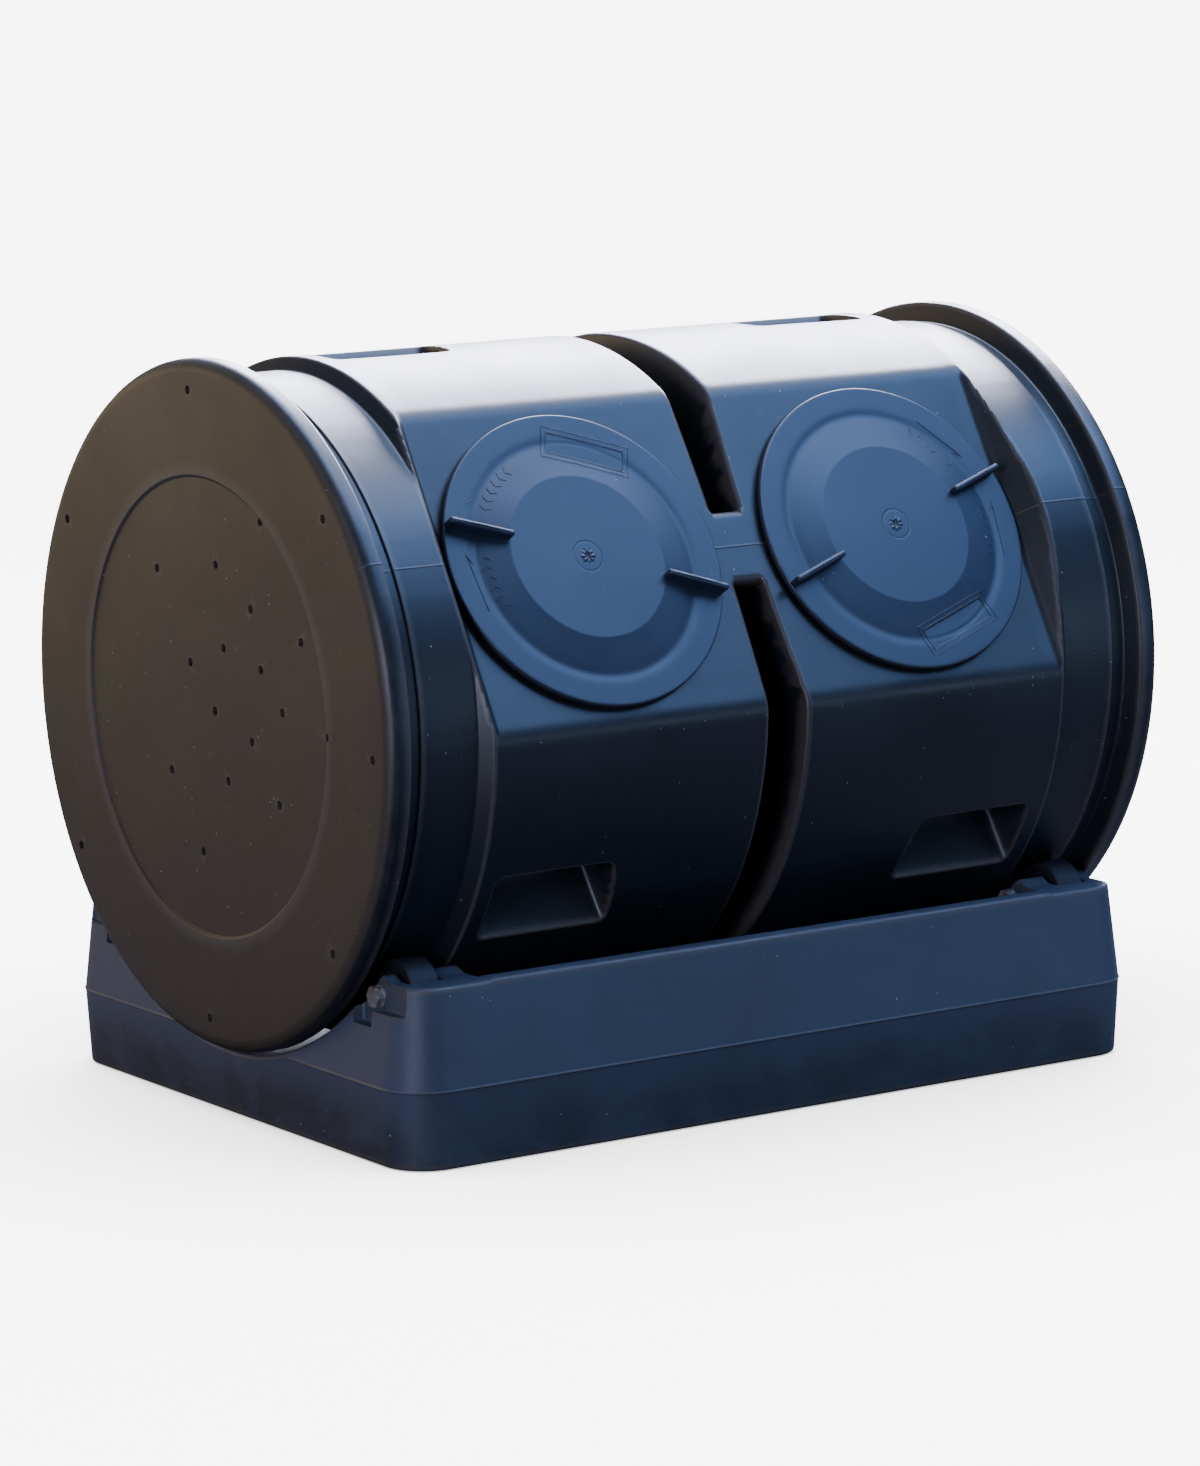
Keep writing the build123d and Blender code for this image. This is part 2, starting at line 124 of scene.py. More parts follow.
# ---- base, in millimetres from the ground ----
BASE_HALF = (398.0, 296.0)
BASE_CORNER = 46.0
BASE_PART_Z = 69.0
BASE_TOP = 157.0
BASE_TOP_DRAFT = 10.0
BASE_FOOT_DRAFT = 4.0
CRADLE_R = 308.5
TROUGH_R = 338.0
TROUGH_Z = 38.0
TROUGH_HALF = 372.0
HOUSING = (303.0, 190.0)
AXLE = (351.0, 226.64, 143.51)
HUMP_R = 20.0
WHEEL_SLOT = (333.0, 369.0, 32.5)
RECESS_X = 410.0
HEAD_RECESS = ((60, 60, 120), 242.0, 192.0)  # block's size, then its middle along Y and Z
HEAD_STEP = ((60, 30, 140), 215.0, 188.0)
RECESS_ROUND = 3.0
DRIP = (7.0, 30.0)
DRIP_FOOT = 12.0
DRAIN = (16.1, 60.0)
DRAIN_AT = (380.0, 0.0, 27.0)


# ---------------------------------------------------------------- numbers into surfaces
def smooth_min(a, b, reach):
    """The lower of two heights, with a rounded hollow edge where they are within reach of each other."""
    near = np.clip(reach - np.abs(a - b), 0, None)
    return np.minimum(a, b) - near ** 2 / (4 * reach)


def smooth_max(a, b, reach):
    return -smooth_min(-a, -b, reach)


def ease(t):
    """0 below 0, 1 above 1, and a smooth S between."""
    t = np.clip(t, 0, 1)
    return t * t * (3 - 2 * t)


def wall_drop(into, depth, lip, run, foot):
    """How far a moulded wall has dropped at a distance into a recess.

    It runs down a lip arc, then a drafted wall, then a foot arc.
    """
    u = np.clip(into, 0, lip + run + foot)
    on_lip = lip - np.sqrt(np.clip(lip ** 2 - np.minimum(u, lip) ** 2, 0, None))
    on_wall = np.clip((u - lip) / run, 0, 1) * (depth - lip - foot)
    last = np.clip(u - lip - run, 0, foot)
    on_foot = np.sqrt(np.clip(foot ** 2 - (foot - last) ** 2, 0, None))
    return on_lip + on_wall + on_foot


def grid_lines(low, high, step, *marks):
    """Grid lines from low to high, a step apart, and closer round each mark (place, reach, finer step)."""
    lines = np.linspace(low, high, int(round((high - low) / step)) + 1)
    for place, reach, fine in marks:
        lines = lines[(np.abs(lines - place) > reach + 0.4 * fine) | (lines == low) | (lines == high)]
        close = np.linspace(place - reach, place + reach, int(round(2 * reach / fine)) + 1)
        lines = np.sort(np.concatenate([lines, close[(close > low) & (close < high)]]))
    return lines


def rounded_path(corners, arc=6):
    """Points along an open outline of corners (a, b, rounding radius, step to the next corner)."""
    spots = np.array([c[:2] for c in corners], float)
    path = [spots[:1]]
    last = spots[0]
    for i in range(1, len(corners)):
        here = spots[i]
        radius = corners[i][2]
        if i < len(corners) - 1 and radius > 0:
            before = (spots[i - 1] - here) / np.linalg.norm(spots[i - 1] - here)
            after = (spots[i + 1] - here) / np.linalg.norm(spots[i + 1] - here)
            half = np.arccos(np.clip(before @ after, -1, 1)) / 2
            reach = radius / np.tan(half)
            middle = here + (before + after) / np.linalg.norm(before + after) * radius / np.sin(half)
            start, end = here + before * reach, here + after * reach
            a0, a1 = (np.arctan2(*(p - middle)[::-1]) for p in (start, end))
            sweep = (a1 - a0 + np.pi) % (2 * np.pi) - np.pi
            turn = a0 + sweep * np.linspace(0, 1, arc + 1)
            bend = middle + radius * np.stack([np.cos(turn), np.sin(turn)], 1)
        else:
            bend = here[None]
        count = max(1, int(round(np.linalg.norm(bend[0] - last) / corners[i - 1][3])))
        straight = last + (bend[0] - last) * np.linspace(0, 1, count + 1)[1:, None]
        path += [straight, bend[1:]]
        last = bend[-1]
    return np.concatenate(path)


def lattice_faces(rows, columns, wrap):
    """Four-sided faces between neighbouring rows of points; wrap joins the last column to the first."""
    index = np.arange(rows * columns).reshape(rows, columns)
    across = np.roll(index, -1, 1) if wrap else index[:, 1:]
    along = index if wrap else index[:, :-1]
    return np.stack([along[:-1], across[:-1], across[1:], along[1:]], -1).reshape(-1, 4)


def volume(points, faces):
    """Signed volume inside closed faces: positive when they point outwards."""
    total = 0.0
    for group in faces:
        for k in range(1, group.shape[1] - 1):
            a, b, c = points[group[:, 0]], points[group[:, k]], points[group[:, k + 1]]
            total += float(np.einsum("ij,ij->i", a, np.cross(b, c)).sum()) / 6
    return total


def closed(points, faces, cavity=False):
    """The surface with its faces turned outwards, or inwards if it is a cavity."""
    if (volume(points, faces) < 0) != cavity:
        faces = [group[:, ::-1] for group in faces]
    return points, faces


def spun(rows, cavity=False):
    """Closed surface of rows of points round an axis. The first and the last row are single points."""
    count, around = rows.shape[:2]
    inner = rows[1:-1].reshape(-1, 3)
    points = np.concatenate([inner, rows[0, :1], rows[-1, :1]])
    ring = np.arange(around)
    first, last = len(inner), len(inner) + 1
    start = np.stack([np.full(around, first), np.roll(ring, -1), ring], 1)
    ring = ring + (count - 3) * around
    end = np.stack([np.full(around, last), ring, np.roll(ring, -1)], 1)
    return closed(points, [lattice_faces(count - 2, around, True), start, end], cavity)


def turned(path, around):
    """Surface of revolution about +Z from (radius, height) points that start and end on the axis."""
    angle = np.linspace(0, 2 * np.pi, around, endpoint=False)
    r, z = path[:, :1], path[:, 1:]
    return np.stack([r * np.cos(angle), r * np.sin(angle), z + 0 * angle], -1)


def rounded_block(size, radius, arc=3):
    """Box with rounded edges: a ball's grid, its eight parts pushed out to the box's corners."""
    quarter = np.linspace(0, np.pi / 2, arc + 1)
    around = np.concatenate([quarter + i * np.pi / 2 for i in range(4)])
    out_x = np.repeat([1, -1, -1, 1], arc + 1)
    out_y = np.repeat([1, 1, -1, -1], arc + 1)
    rise = np.concatenate([quarter - np.pi / 2, quarter])[:, None]
    out_z = np.repeat([-1, 1], arc + 1)[:, None]
    half = np.array(size) / 2 - radius
    flat = np.cos(rise)
    ball = np.stack([flat * np.cos(around), flat * np.sin(around), np.sin(rise) + 0 * around], -1)
    push = np.stack([out_x + 0 * rise, out_y + 0 * rise, out_z + 0 * around], -1)
    body = ball * radius + push * half
    low, high = body[:1].copy(), body[-1:].copy()
    low[..., :2] = 0
    high[..., :2] = 0
    return spun(np.concatenate([low, body, high]))


def rod(radius, length, around):
    """Closed cylinder on +Z, from 0 to its length."""
    path = np.array([(0, 0), (radius, 0), (radius, length), (0, length)], float)
    return spun(turned(path, around))


def moved(surface, place):
    """The surface after a 4 x 4 placement."""
    points, faces = surface
    m = np.array(place)
    return points @ m[:3, :3].T + m[:3, 3], faces


def along_x(x, y, z):
    """Placement that lays +Z along +X and puts its origin at a point."""
    return Matrix.Translation((x, y, z)) @ Matrix.Rotation(radians(90), 4, "Y")


def on_facet(x, distance, turn=0.0):
    """Placement on the facet's normal: local z is the normal, local y runs up the facet."""
    tilt = radians(FACET_TILT)
    axes = Matrix(((1, 0, 0, 0), (0, sin(tilt), -cos(tilt), 0), (0, cos(tilt), sin(tilt), 0), (0, 0, 0, 1)))
    lift = Matrix.Translation((x, 0, AXIS_Z))
    return lift @ axes @ Matrix.Translation((0, 0, distance)) @ Matrix.Rotation(radians(turn), 4, "Z")


def mesh_of(name, surfaces):
    """Object whose mesh holds the closed surfaces, given in millimetres and stored in metres.

    Points that coincide, as at a rounded block's poles, are made one.
    """
    points, faces, count = [], [], 0
    for spots, groups in surfaces:
        points.append(spots)
        for group in groups:
            faces += (group + count).tolist()
        count += len(spots)
    mesh = bpy.data.meshes.new(name)
    mesh.from_pydata((np.concatenate(points) * MM).tolist(), [], faces)
    welded = bmesh.new()
    welded.from_mesh(mesh)
    bmesh.ops.remove_doubles(welded, verts=welded.verts, dist=WELD)
    welded.to_mesh(mesh)
    welded.free()
    piece = bpy.data.objects.new(name, mesh)
    bpy.context.scene.collection.objects.link(piece)
    return piece


def settle(piece):
    """Puts the result of the piece's modifiers into its mesh."""
    graph = bpy.context.evaluated_depsgraph_get()
    old = piece.data
    piece.data = bpy.data.meshes.new_from_object(piece.evaluated_get(graph), depsgraph=graph)
    piece.data.name = old.name
    piece.modifiers.clear()
    bpy.data.meshes.remove(old)


def carve(piece, surfaces):
    """Cuts closed surfaces out of the piece."""
    cutter = mesh_of("cutter", surfaces)
    cut = piece.modifiers.new("holes", "BOOLEAN")
    cut.object = cutter
    cut.operation = "DIFFERENCE"
    cut.solver = "EXACT"
    settle(piece)
    mesh = cutter.data
    bpy.data.objects.remove(cutter)
    bpy.data.meshes.remove(mesh)


def mark_edges(mesh, radius):
    """Stores at each point how sharply the skin bends outwards: 1 where its radius is this or smaller.

    Along each edge the bend is twice the drop below the point's tangent plane, over the edge's length
    squared.
    """
    count = len(mesh.vertices)
    spots, normals = np.zeros(count * 3), np.zeros(count * 3)
    mesh.vertices.foreach_get("co", spots)
    mesh.vertex_normals.foreach_get("vector", normals)
    spots, normals = spots.reshape(-1, 3), normals.reshape(-1, 3)
    ends = np.zeros(len(mesh.edges) * 2, int)
    mesh.edges.foreach_get("vertices", ends)
    ends = ends.reshape(-1, 2)
    bend = np.zeros(count)
    for here, there in (ends.T, ends.T[::-1]):
        way = spots[there] - spots[here]
        drop = -np.einsum("ij,ij->i", way, normals[here])
        np.maximum.at(bend, here, 2 * drop / np.maximum((way ** 2).sum(1), 1e-9))
    mark = mesh.attributes.new("edge", "FLOAT", "POINT")
    mark.data.foreach_set("value", np.clip(bend * radius, 0, 1).astype(np.float32))


def join(piece, more):
    """Adds another object's mesh to the piece."""
    with bpy.context.temp_override(active_object=piece, selected_editable_objects=[piece, more]):
        bpy.ops.object.join()


def finish(piece, body, material, stands_for, edge_radius):
    """Shades a new piece, gives it its material and ties it to the frame."""
    mesh = piece.data
    mesh.shade_smooth()
    mesh.set_sharp_from_angle(angle=radians(CREASE))
    mark_edges(mesh, edge_radius)
    weigh = piece.modifiers.new("normals", "WEIGHTED_NORMAL")
    weigh.keep_sharp = True
    settle(piece)
    piece.data.materials.clear()
    piece.data.materials.append(material)
    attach(piece, body)
    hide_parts(stands_for)


# ---------------------------------------------------------------- drum
def drum_skin_points(profile, angles, grow, with_slot):
    """The drum's skin: a profile spun about X, then changed by the facet, the groove and the hand pockets.

    The facet limits the radius to (distance + end wall's rise) / cos(angle from the facet's normal). The
    groove lowers the skin by the smaller of two wall drops, one across the groove and one away from the
    web. A pocket slides points back along its pull direction, towards its floor plane. Sines lower the body
    in slow waves, and a bell curve across the parting line raises its ridge. grow is the wall's thickness
    for the inside of a chamber, and 0 outside.
    """
    x = profile[:, :1]
    radius = profile[:, 1:]
    angle = angles[None, :]
    off = angle - radians(FACET_TILT)
    beyond = (np.abs(x) - FACET_HALF - 1.2 * grow) / np.tan(FACET_WALL)
    flat = FACET_D - grow + smooth_max(beyond, 0 * beyond, 6)
    facing = np.cos(off)
    limit = np.where(facing > 0.3, flat / np.maximum(facing, 0.3), 1e4)
    waves = WAVE + WAVE * np.sin(x / 41 + 3 * np.sin(2 * angle)) * np.sin(5 * angle + 0.8)
    waves = waves * ease((BODY_HALF - np.abs(x)) / 20) * (radius > SLOT_R) * (grow == 0)
    r = smooth_min(radius + 0 * angle, limit, 4.5) - waves
    if with_slot:
        lip = SLOT_LIP + SLOT_FLARE * np.clip(r - 263, 0, 40)
        across = wall_drop(lip - np.abs(x), SLOT_DEPTH, SLOT_LIP_ROUND, *SLOT_WALL)
        away = np.abs(r * np.sin(off)) + np.where(facing > 0, 0, 1e3)
        beside = wall_drop(away - WEB_HALF + 0 * x, SLOT_DEPTH, WEB_LIP_ROUND, *SLOT_WALL)
        r = np.where(np.abs(x) < lip, np.maximum(r - smooth_min(across, beside, 8).clip(0), SLOT_R), r)
        ridge = RIDGE * np.exp(-((np.sin(off) * r) / 0.7) ** 2)
        r = r + np.where(radius > SLOT_R, ridge * (1 + 0.5 * np.sin(x / 3.1) * np.sin(x / 7.7)), 0)
    points = np.stack([x + 0 * r, -r * np.cos(angle), r * np.sin(angle)], -1)
    for mirrored in (False, True):
        turn = 2 * radians(FACET_TILT) - angle if mirrored else angle
        pull = 2 * radians(FACET_TILT) - POCKET_PULL if mirrored else POCKET_PULL
        out = np.array([0, -cos(pull), sin(pull)])
        middle = radians((POCKET_TOP + POCKET_LOW) / 2)
        half = radians((POCKET_TOP - POCKET_LOW) / 2)
        lean = np.clip((turn - middle) / half, -1, 1)
        near = POCKET_NEAR + POCKET_SKEW * lean - grow
        across = np.minimum(np.abs(x) - near, POCKET_FAR + grow - np.abs(x))
        round_it = (half - np.abs(turn - middle)) * BODY_R + grow
        into = smooth_min(across, round_it + 0 * across, 10)
        share = wall_drop(into, POCKET_DEPTH, *POCKET_LIP) / POCKET_DEPTH
        height = points @ out - (POCKET_FLOOR - grow)
        points = points - (share * height.clip(0))[..., None] * out
    return points + np.array([0, 0, AXIS_Z])


def drum_angles(step):
    """Lines round the drum, closer at the facet's edges, the web, the pockets' lips and parting lines."""
    facet_edges = [(0, 2.5, 0.5), (60, 2.5, 0.5)]
    parting = [(30, 0.5, 0.1), (210, 0.5, 0.1)]
    web_edges = [(23, 1.9, 0.27), (37, 1.9, 0.27)]
    marks = facet_edges + parting + web_edges
    for lip in (-25.7, -37.3):
        marks += [(lip, 1.6, 0.2), (2 * FACET_TILT - lip, 1.6, 0.2)]
    return np.radians(grid_lines(-90, 270, step, *marks)[:-1])


def drum_outside():
    """The whole outside: one end's outline from its axis to the body, the body, and the end mirrored."""
    end = rounded_path([
        (END_DISC, 0, 0, 25), (END_DISC, END_DISC_R - 1.2, 0.8, 1), (DRUM_HALF, END_DISC_R + 1.2, 0.8, 18),
        (DRUM_HALF, RIM_R, 12, 6), (RIM_FOOT + 6, RIM_R, 3, 5), (RIM_FOOT, BAND_R, 3, 4),
        (TRACK_END + 1.5, BAND_R, 1, 1), (TRACK_END, TRACK_R, 1, 8), (BODY_FOOT + 9, TRACK_R, 0, 1.8),
        (BODY_FOOT, TRACK_R, 4, 1.8), (BODY_HALF, BODY_R, 4, 1.8), (BODY_HALF - 8, BODY_R, 0, 2),
    ])
    fine = ((18, 11), (166, 14), (284, 8))  # the groove's lip, and the near and far ends of the pockets
    marks = [(side * place, reach, 1.1) for place, reach in fine for side in SIDES.values()]
    middle = grid_lines(-end[-1, 0], end[-1, 0], 12, *marks)[::-1][1:-1]
    body = np.stack([middle, np.full(len(middle), BODY_R)], 1)
    profile = np.concatenate([end, body, (end * (-1, 1))[::-1]])
    return spun(drum_skin_points(profile, drum_angles(2.5), 0.0, True))


def chamber(side):
    """Inside of one chamber, a wall's thickness from the outside."""
    rim = END_DISC - WALL
    body = BODY_R - WALL
    band = BAND_R - WALL
    profile = rounded_path([
        (WALL, 0, 0, 40), (WALL, SLOT_R - WALL, 4, 10), (14, SLOT_R - WALL, 4, 15), (SLOT_LIP, body, 6, 8),
        (160, body, 0, 3), (175, body, 0, 12), (280, body, 0, 3),
        (BODY_HALF - 2.5, body, 4, 3), (BODY_FOOT - 2.5, TRACK_R - WALL, 4, 9),
        (RIM_FOOT - WALL, band, 0, 9), (rim, band, 8, 40), (rim, 0, 0, 1),
    ], arc=3)
    angles = np.radians(np.linspace(-90, 270, 145)[:-1])
    return spun(drum_skin_points(profile * (side, 1), angles, WALL, False), cavity=True)


def drum_holes(vent, mouth):
    """Air holes in both ends and the two mouths in the facet, of the given radii."""
    cutters = []
    for side in SIDES.values():
        for radius, angle in VENTS:
            a = radians(angle)
            start = side * (END_DISC - 1) - 15
            place = along_x(start, -radius * cos(a), AXIS_Z + radius * sin(a))
            cutters.append(moved(rod(vent, 30, 16), place))
        cutters.append(moved(rod(mouth, 34, 128), on_facet(side * MOUTH_X, FACET_D - 20)))
    return cutters


# ---------------------------------------------------------------- lids
def lid_height(radius):
    """Height of the lid's top over its flat ring: a raised disc, a cone, a hollow at its foot and the gate.

    The cone is a straight slope held between 0 and the disc's height; bell curves make the rest.
    """
    slope = (LID_CONE_R - radius) / (LID_CONE_R - LID_DISC_R) * 5.6
    rise = smooth_min(smooth_max(slope, 0 * slope, 1.0), 5.6 + 0 * slope, 0.2)
    rise = rise - 0.7 * np.exp(-((radius - LID_CONE_R - 3) / 5) ** 2)
    ring = -0.16 * np.exp(-((radius - 14) / 0.9) ** 2)
    nub = 0.5 * np.exp(-((radius - 4.5) / 1.8) ** 2) - 0.7 * np.exp(-(radius / 2.2) ** 2)
    return rise + ring + nub


def lid_skin():
    """Top, rim, underside and threaded skirt of a lid, spun about +Z with the flat ring at height 0."""
    top = grid_lines(0, LID_R - 4, 4, (4, 4, 0.8), (14, 2, 0.4), (LID_DISC_R, 2.4, 0.4),
                     (LID_CONE_R + 2, 12, 1.5))
    top = np.stack([top, lid_height(top)], 1)
    rest = rounded_path([
        (LID_R - 4, 0, 0, 2), (LID_R, 0, 1.6, 2), (LID_R, -5.2, 0.8, 2), (LID_R - 3.5, -5.2, 0.8, 2),
        (LID_R - 3.5, -3, 0.5, 10), (107.5, -3, 0.8, 1), (107.5, -19.3, 1, 2), (103.5, -19.3, 1, 8),
        (103.5, -3.2, 1.5, 10), (LID_DISC_R, 2.4, 4, 25), (0, 2.4, 0, 1),
    ], arc=4)
    rows = turned(np.concatenate([top, rest[1:]]), 180)
    angle = np.linspace(0, 2 * np.pi, 180, endpoint=False)
    radius = np.hypot(rows[..., 0], rows[..., 1])
    height = rows[..., 2]
    phase = (height * THREAD_STARTS / THREAD_LEAD - THREAD_STARTS * angle / (2 * np.pi)) % 1
    groove = ease((0.5 - np.abs(phase - 0.5)) * 5 - 0.9)
    on_skirt = ease((height + 18) / 2) * ease((-5 - height) / 2) * (radius > 106) * (radius < 108)
    rows[..., :2] *= (1 - 1.3 * groove * on_skirt / np.maximum(radius, 1))[..., None]
    rough = 0.55 * np.sin(3 * angle + 1) * np.sin(5 * angle) * (radius < 7) * (radius > 1) * (height > 3)
    rows[..., 2] += rough
    return spun(rows)


def rib(line, width=1.1, rise=0.55):
    """Low raised line on the lid's top along a path of (x, y) points, its ends drawn to points."""
    way = np.gradient(line, axis=0)
    way /= np.linalg.norm(way, axis=1)[:, None]
    side = np.stack([-way[:, 1], way[:, 0]], 1)
    turn = np.linspace(0, 2 * np.pi, 8, endpoint=False)
    out = np.cos(turn) * width / 2
    up = np.where(np.sin(turn) > 0, np.sin(turn) * rise, np.sin(turn) * RIB_SINK)
    spots = line[:, None, :] + side[:, None, :] * out[None, :, None]
    ground = lid_height(np.hypot(line[:, 0], line[:, 1]))[:, None]
    rows = np.concatenate([spots, (ground + up[None, :])[..., None]], -1)
    tip0 = np.repeat(np.append(line[0] - way[0] * 0.3, ground[0, 0])[None], 8, 0)
    tip1 = np.repeat(np.append(line[-1] + way[-1] * 0.3, ground[-1, 0])[None], 8, 0)
    return spun(np.concatenate([tip0[None], rows, tip1[None]]))


def straight(start, end):
    """Points along a straight rib, MARK_STEP apart."""
    start, end = np.array(start, float), np.array(end, float)
    count = max(2, int(np.linalg.norm(end - start) / MARK_STEP))
    return start + (end - start) * np.linspace(0, 1, count)[:, None]


def lid_marks():
    """Twist arrows, chevrons in place of words, and the frame of the blank label plate."""
    marks = []
    for way in (-1, 1):
        near, far = radians(180 + way * 12), radians(180 + way * 38)
        head = np.array([ARROW_R * cos(near), ARROW_R * sin(near)])
        tail = np.array([ARROW_R * cos(far), ARROW_R * sin(far)])
        along = (head - tail) / np.linalg.norm(head - tail)
        across = np.array([-along[1], along[0]])
        marks.append(rib(straight(tail, head)))
        barb = head - 9 * along - way * 3.2 * across
        marks.append(rib(straight(head, barb)))
        for k in range(6):
            a = radians(180 + way * (13 + 5.2 * k))
            tip = np.array([CHEVRON_R * cos(a), CHEVRON_R * sin(a)])
            radial = tip / np.linalg.norm(tip)
            sweep = np.array([radial[1], -radial[0]]) * way
            for arm in (-1, 1):
                marks.append(rib(straight(tip, tip + arm * 5 * radial - sweep * 3.2), 0.9, 0.5))
    for grow in (0.0, -4.5):
        wide, high = LABEL[0] / 2 + grow, LABEL[1] / 2 + grow
        low, top = LABEL_R - high, LABEL_R + high
        box = [(-wide, low), (wide, low), (wide, top), (-wide, top), (-wide, low)]
        for a, b in zip(box, box[1:]):
            marks.append(rib(straight(a, b), 0.8, 0.45))
    return marks


def fin():
    """Grip blade: a rounded block, its top drawn down towards the rim."""
    points, faces = rounded_block((61, 5.6, 21), 2.4, 4)
    shift = points + np.array([0, 0, 4.5])
    outer = ease((shift[:, 0] - 14) / 20)
    shift[:, 2] = np.where(shift[:, 2] > 2, shift[:, 2] * (1 - 0.16 * outer), shift[:, 2])
    return shift, faces


def lid_details():
    """Everything that stands on the lid's skin: both grip blades and the raised marks."""
    blades = []
    for turn in (0, 180):
        place = Matrix.Rotation(radians(turn), 4, "Z") @ Matrix.Translation((BLADE_X, 0, 0))
        blades.append(moved(fin(), place))
    return blades + lid_marks()


def label_recess():
    """Block that cuts the flat seat of the blank label into the ring and the foot of the cone."""
    return moved(rounded_block((75, 19, 12), 0.6), Matrix.Translation((0, LABEL_R, 5.6)))


# ---------------------------------------------------------------- base
def base_inset(z):
    """How far the wall stands inside its widest outline at a height: two drafts and a thin flash line."""
    above = BASE_TOP_DRAFT * (z - BASE_PART_Z) / (BASE_TOP - BASE_PART_Z)
    below = BASE_FOOT_DRAFT * (BASE_PART_Z - z) / BASE_PART_Z
    return np.where(z > BASE_PART_Z, above, below) - 0.8 * np.exp(-((z - BASE_PART_Z) / 0.7) ** 2) + 0.8


def base_top(x, y):
    """Height of the base's top: rim, roller humps, the cradle under the flanges and the trough."""
    ax, ay = np.abs(x), np.abs(y)
    cradle = AXIS_Z - np.sqrt(CRADLE_R ** 2 - np.minimum(ay, CRADLE_R - 1) ** 2)
    lift = AXLE[2] + np.sqrt(np.clip(HUMP_R ** 2 - (ay - AXLE[1]) ** 2, 0, None))
    lift = np.where(lift > AXLE[2] + 1, lift, 0)
    lift = BASE_TOP + (lift - BASE_TOP) * ease((ax - HOUSING[0]) / 5)
    block = smooth_min(smooth_max(BASE_TOP + 0 * x, lift, 5), cradle, 5)
    floor = AXIS_Z - np.sqrt(TROUGH_R ** 2 - np.minimum(ay, TROUGH_R - 1) ** 2)
    floor = smooth_min(block, smooth_max(floor, TROUGH_Z + 0 * x, 12), 5)
    housing = ease((ax - HOUSING[0] + 2) / 5) * ease((ay - HOUSING[1] + 2) / 5)
    room = ease((TROUGH_HALF + 2 - ax) / 6) * (1 - housing)
    return block + (floor - block) * room


def base_skin():
    """Closed skin of the base. Its top and foot are one grid whose corner squares are bent into quarter
    rounds; between them the wall runs down from the top's own edge, with a rounded rim and foot."""
    edge = base_inset(BASE_TOP) + 4
    corner = BASE_CORNER - edge
    half = np.array(BASE_HALF) - edge
    centre = half - corner
    xs = grid_lines(-half[0], half[0], 14, *[(s * 337, 46, 1.7) for s in (-1, 1)])
    ys = grid_lines(-half[1], half[1], 5, *[(s * 240, 42, 2.0) for s in (-1, 1)])
    gx, gy = np.meshgrid(xs, ys, indexing="ij")
    u = np.clip((np.abs(gx) - centre[0]) / corner, 0, 1)
    v = np.clip((np.abs(gy) - centre[1]) / corner, 0, 1)
    x = np.where(u > 0, np.sign(gx) * (centre[0] + corner * u * np.sqrt(1 - v * v / 2)), gx)
    y = np.where(v > 0, np.sign(gy) * (centre[1] + corner * v * np.sqrt(1 - u * u / 2)), gy)
    top = np.stack([x, y, base_top(x, y)], -1)
    n, m = top.shape[:2]
    index = np.arange(n * m).reshape(n, m)
    loop = np.concatenate([index[:-1, 0], index[-1, :-1], index[:0:-1, -1], index[0, :0:-1]])
    rim = top.reshape(-1, 3)[loop]
    away = rim[:, :2] - np.clip(rim[:, :2], -centre, centre)
    out = away / np.linalg.norm(away, axis=1)[:, None]
    widest = rim[:, :2] + out * edge
    rows = []
    lip = 4.0
    for a in np.radians([20, 40, 60, 80]):
        z = rim[:, 2] - lip * (1 - cos(a))
        rows.append((z, base_inset(rim[:, 2] - lip) + lip * (1 - sin(a))))
    flash = [71, 70.2, 69.5, 68.8, 68, 67]
    levels = np.concatenate([np.linspace(150, 72, 14), flash, np.linspace(62, 3, 10)])
    for k, level in enumerate(levels):
        z = np.minimum(level, rim[:, 2] - lip - 0.04 * (k + 1))
        rows.append((z, base_inset(z)))
    for a in np.radians([30, 60, 90]):
        z = np.full(len(rim), 3 * (1 - sin(a)))
        rows.append((z, base_inset(z) + 3 * (1 - cos(a))))
    walls = [np.concatenate([widest - out * inset[:, None], z[:, None]], 1) for z, inset in rows]
    foot = np.stack([x, y, 0 * x], -1)
    foot.reshape(-1, 3)[loop] = walls[-1]
    points = np.concatenate([top.reshape(-1, 3), foot.reshape(-1, 3)] + walls[:-1])
    grid = lattice_faces(n, m, False)
    between = [2 * n * m + k * len(loop) + np.arange(len(loop)) for k in range(len(walls) - 1)]
    rings = [loop, *between, loop + n * m]
    sides = [np.stack([a, np.roll(a, -1), np.roll(b, -1), b], 1) for a, b in zip(rings, rings[1:])]
    return closed(points, [grid, (grid + n * m)[:, ::-1], np.concatenate(sides)])


def recess_block(shape, side, end):
    """Block that cuts one level of the stepped recess round an axle's head."""
    size, y, z = shape
    return moved(rounded_block(size, RECESS_ROUND), Matrix.Translation((side * RECESS_X, end * y, z)))


def base_holes():
    """Wheel slots, the shallow part of each axle head's recess, drip holes and the drain hole."""
    cutters = []
    for side, end in CORNERS:
        start = WHEEL_SLOT[0] if side > 0 else -WHEEL_SLOT[1]
        slot = rod(WHEEL_SLOT[2], WHEEL_SLOT[1] - WHEEL_SLOT[0], 72)
        cutters.append(moved(slot, along_x(start, end * AXLE[1], AXLE[2])))
        cutters.append(recess_block(HEAD_RECESS, side, end))
    for x in (-200, 0, 200):
        cutters.append(moved(rod(*DRIP, 20), Matrix.Translation((x, 0, DRIP_FOOT))))
    cutters.append(moved(rod(*DRAIN, 32), along_x(*DRAIN_AT)))
    return cutters


def base_steps():
    """The deeper step of each axle head's recess."""
    return [recess_block(HEAD_STEP, side, end) for side, end in CORNERS]


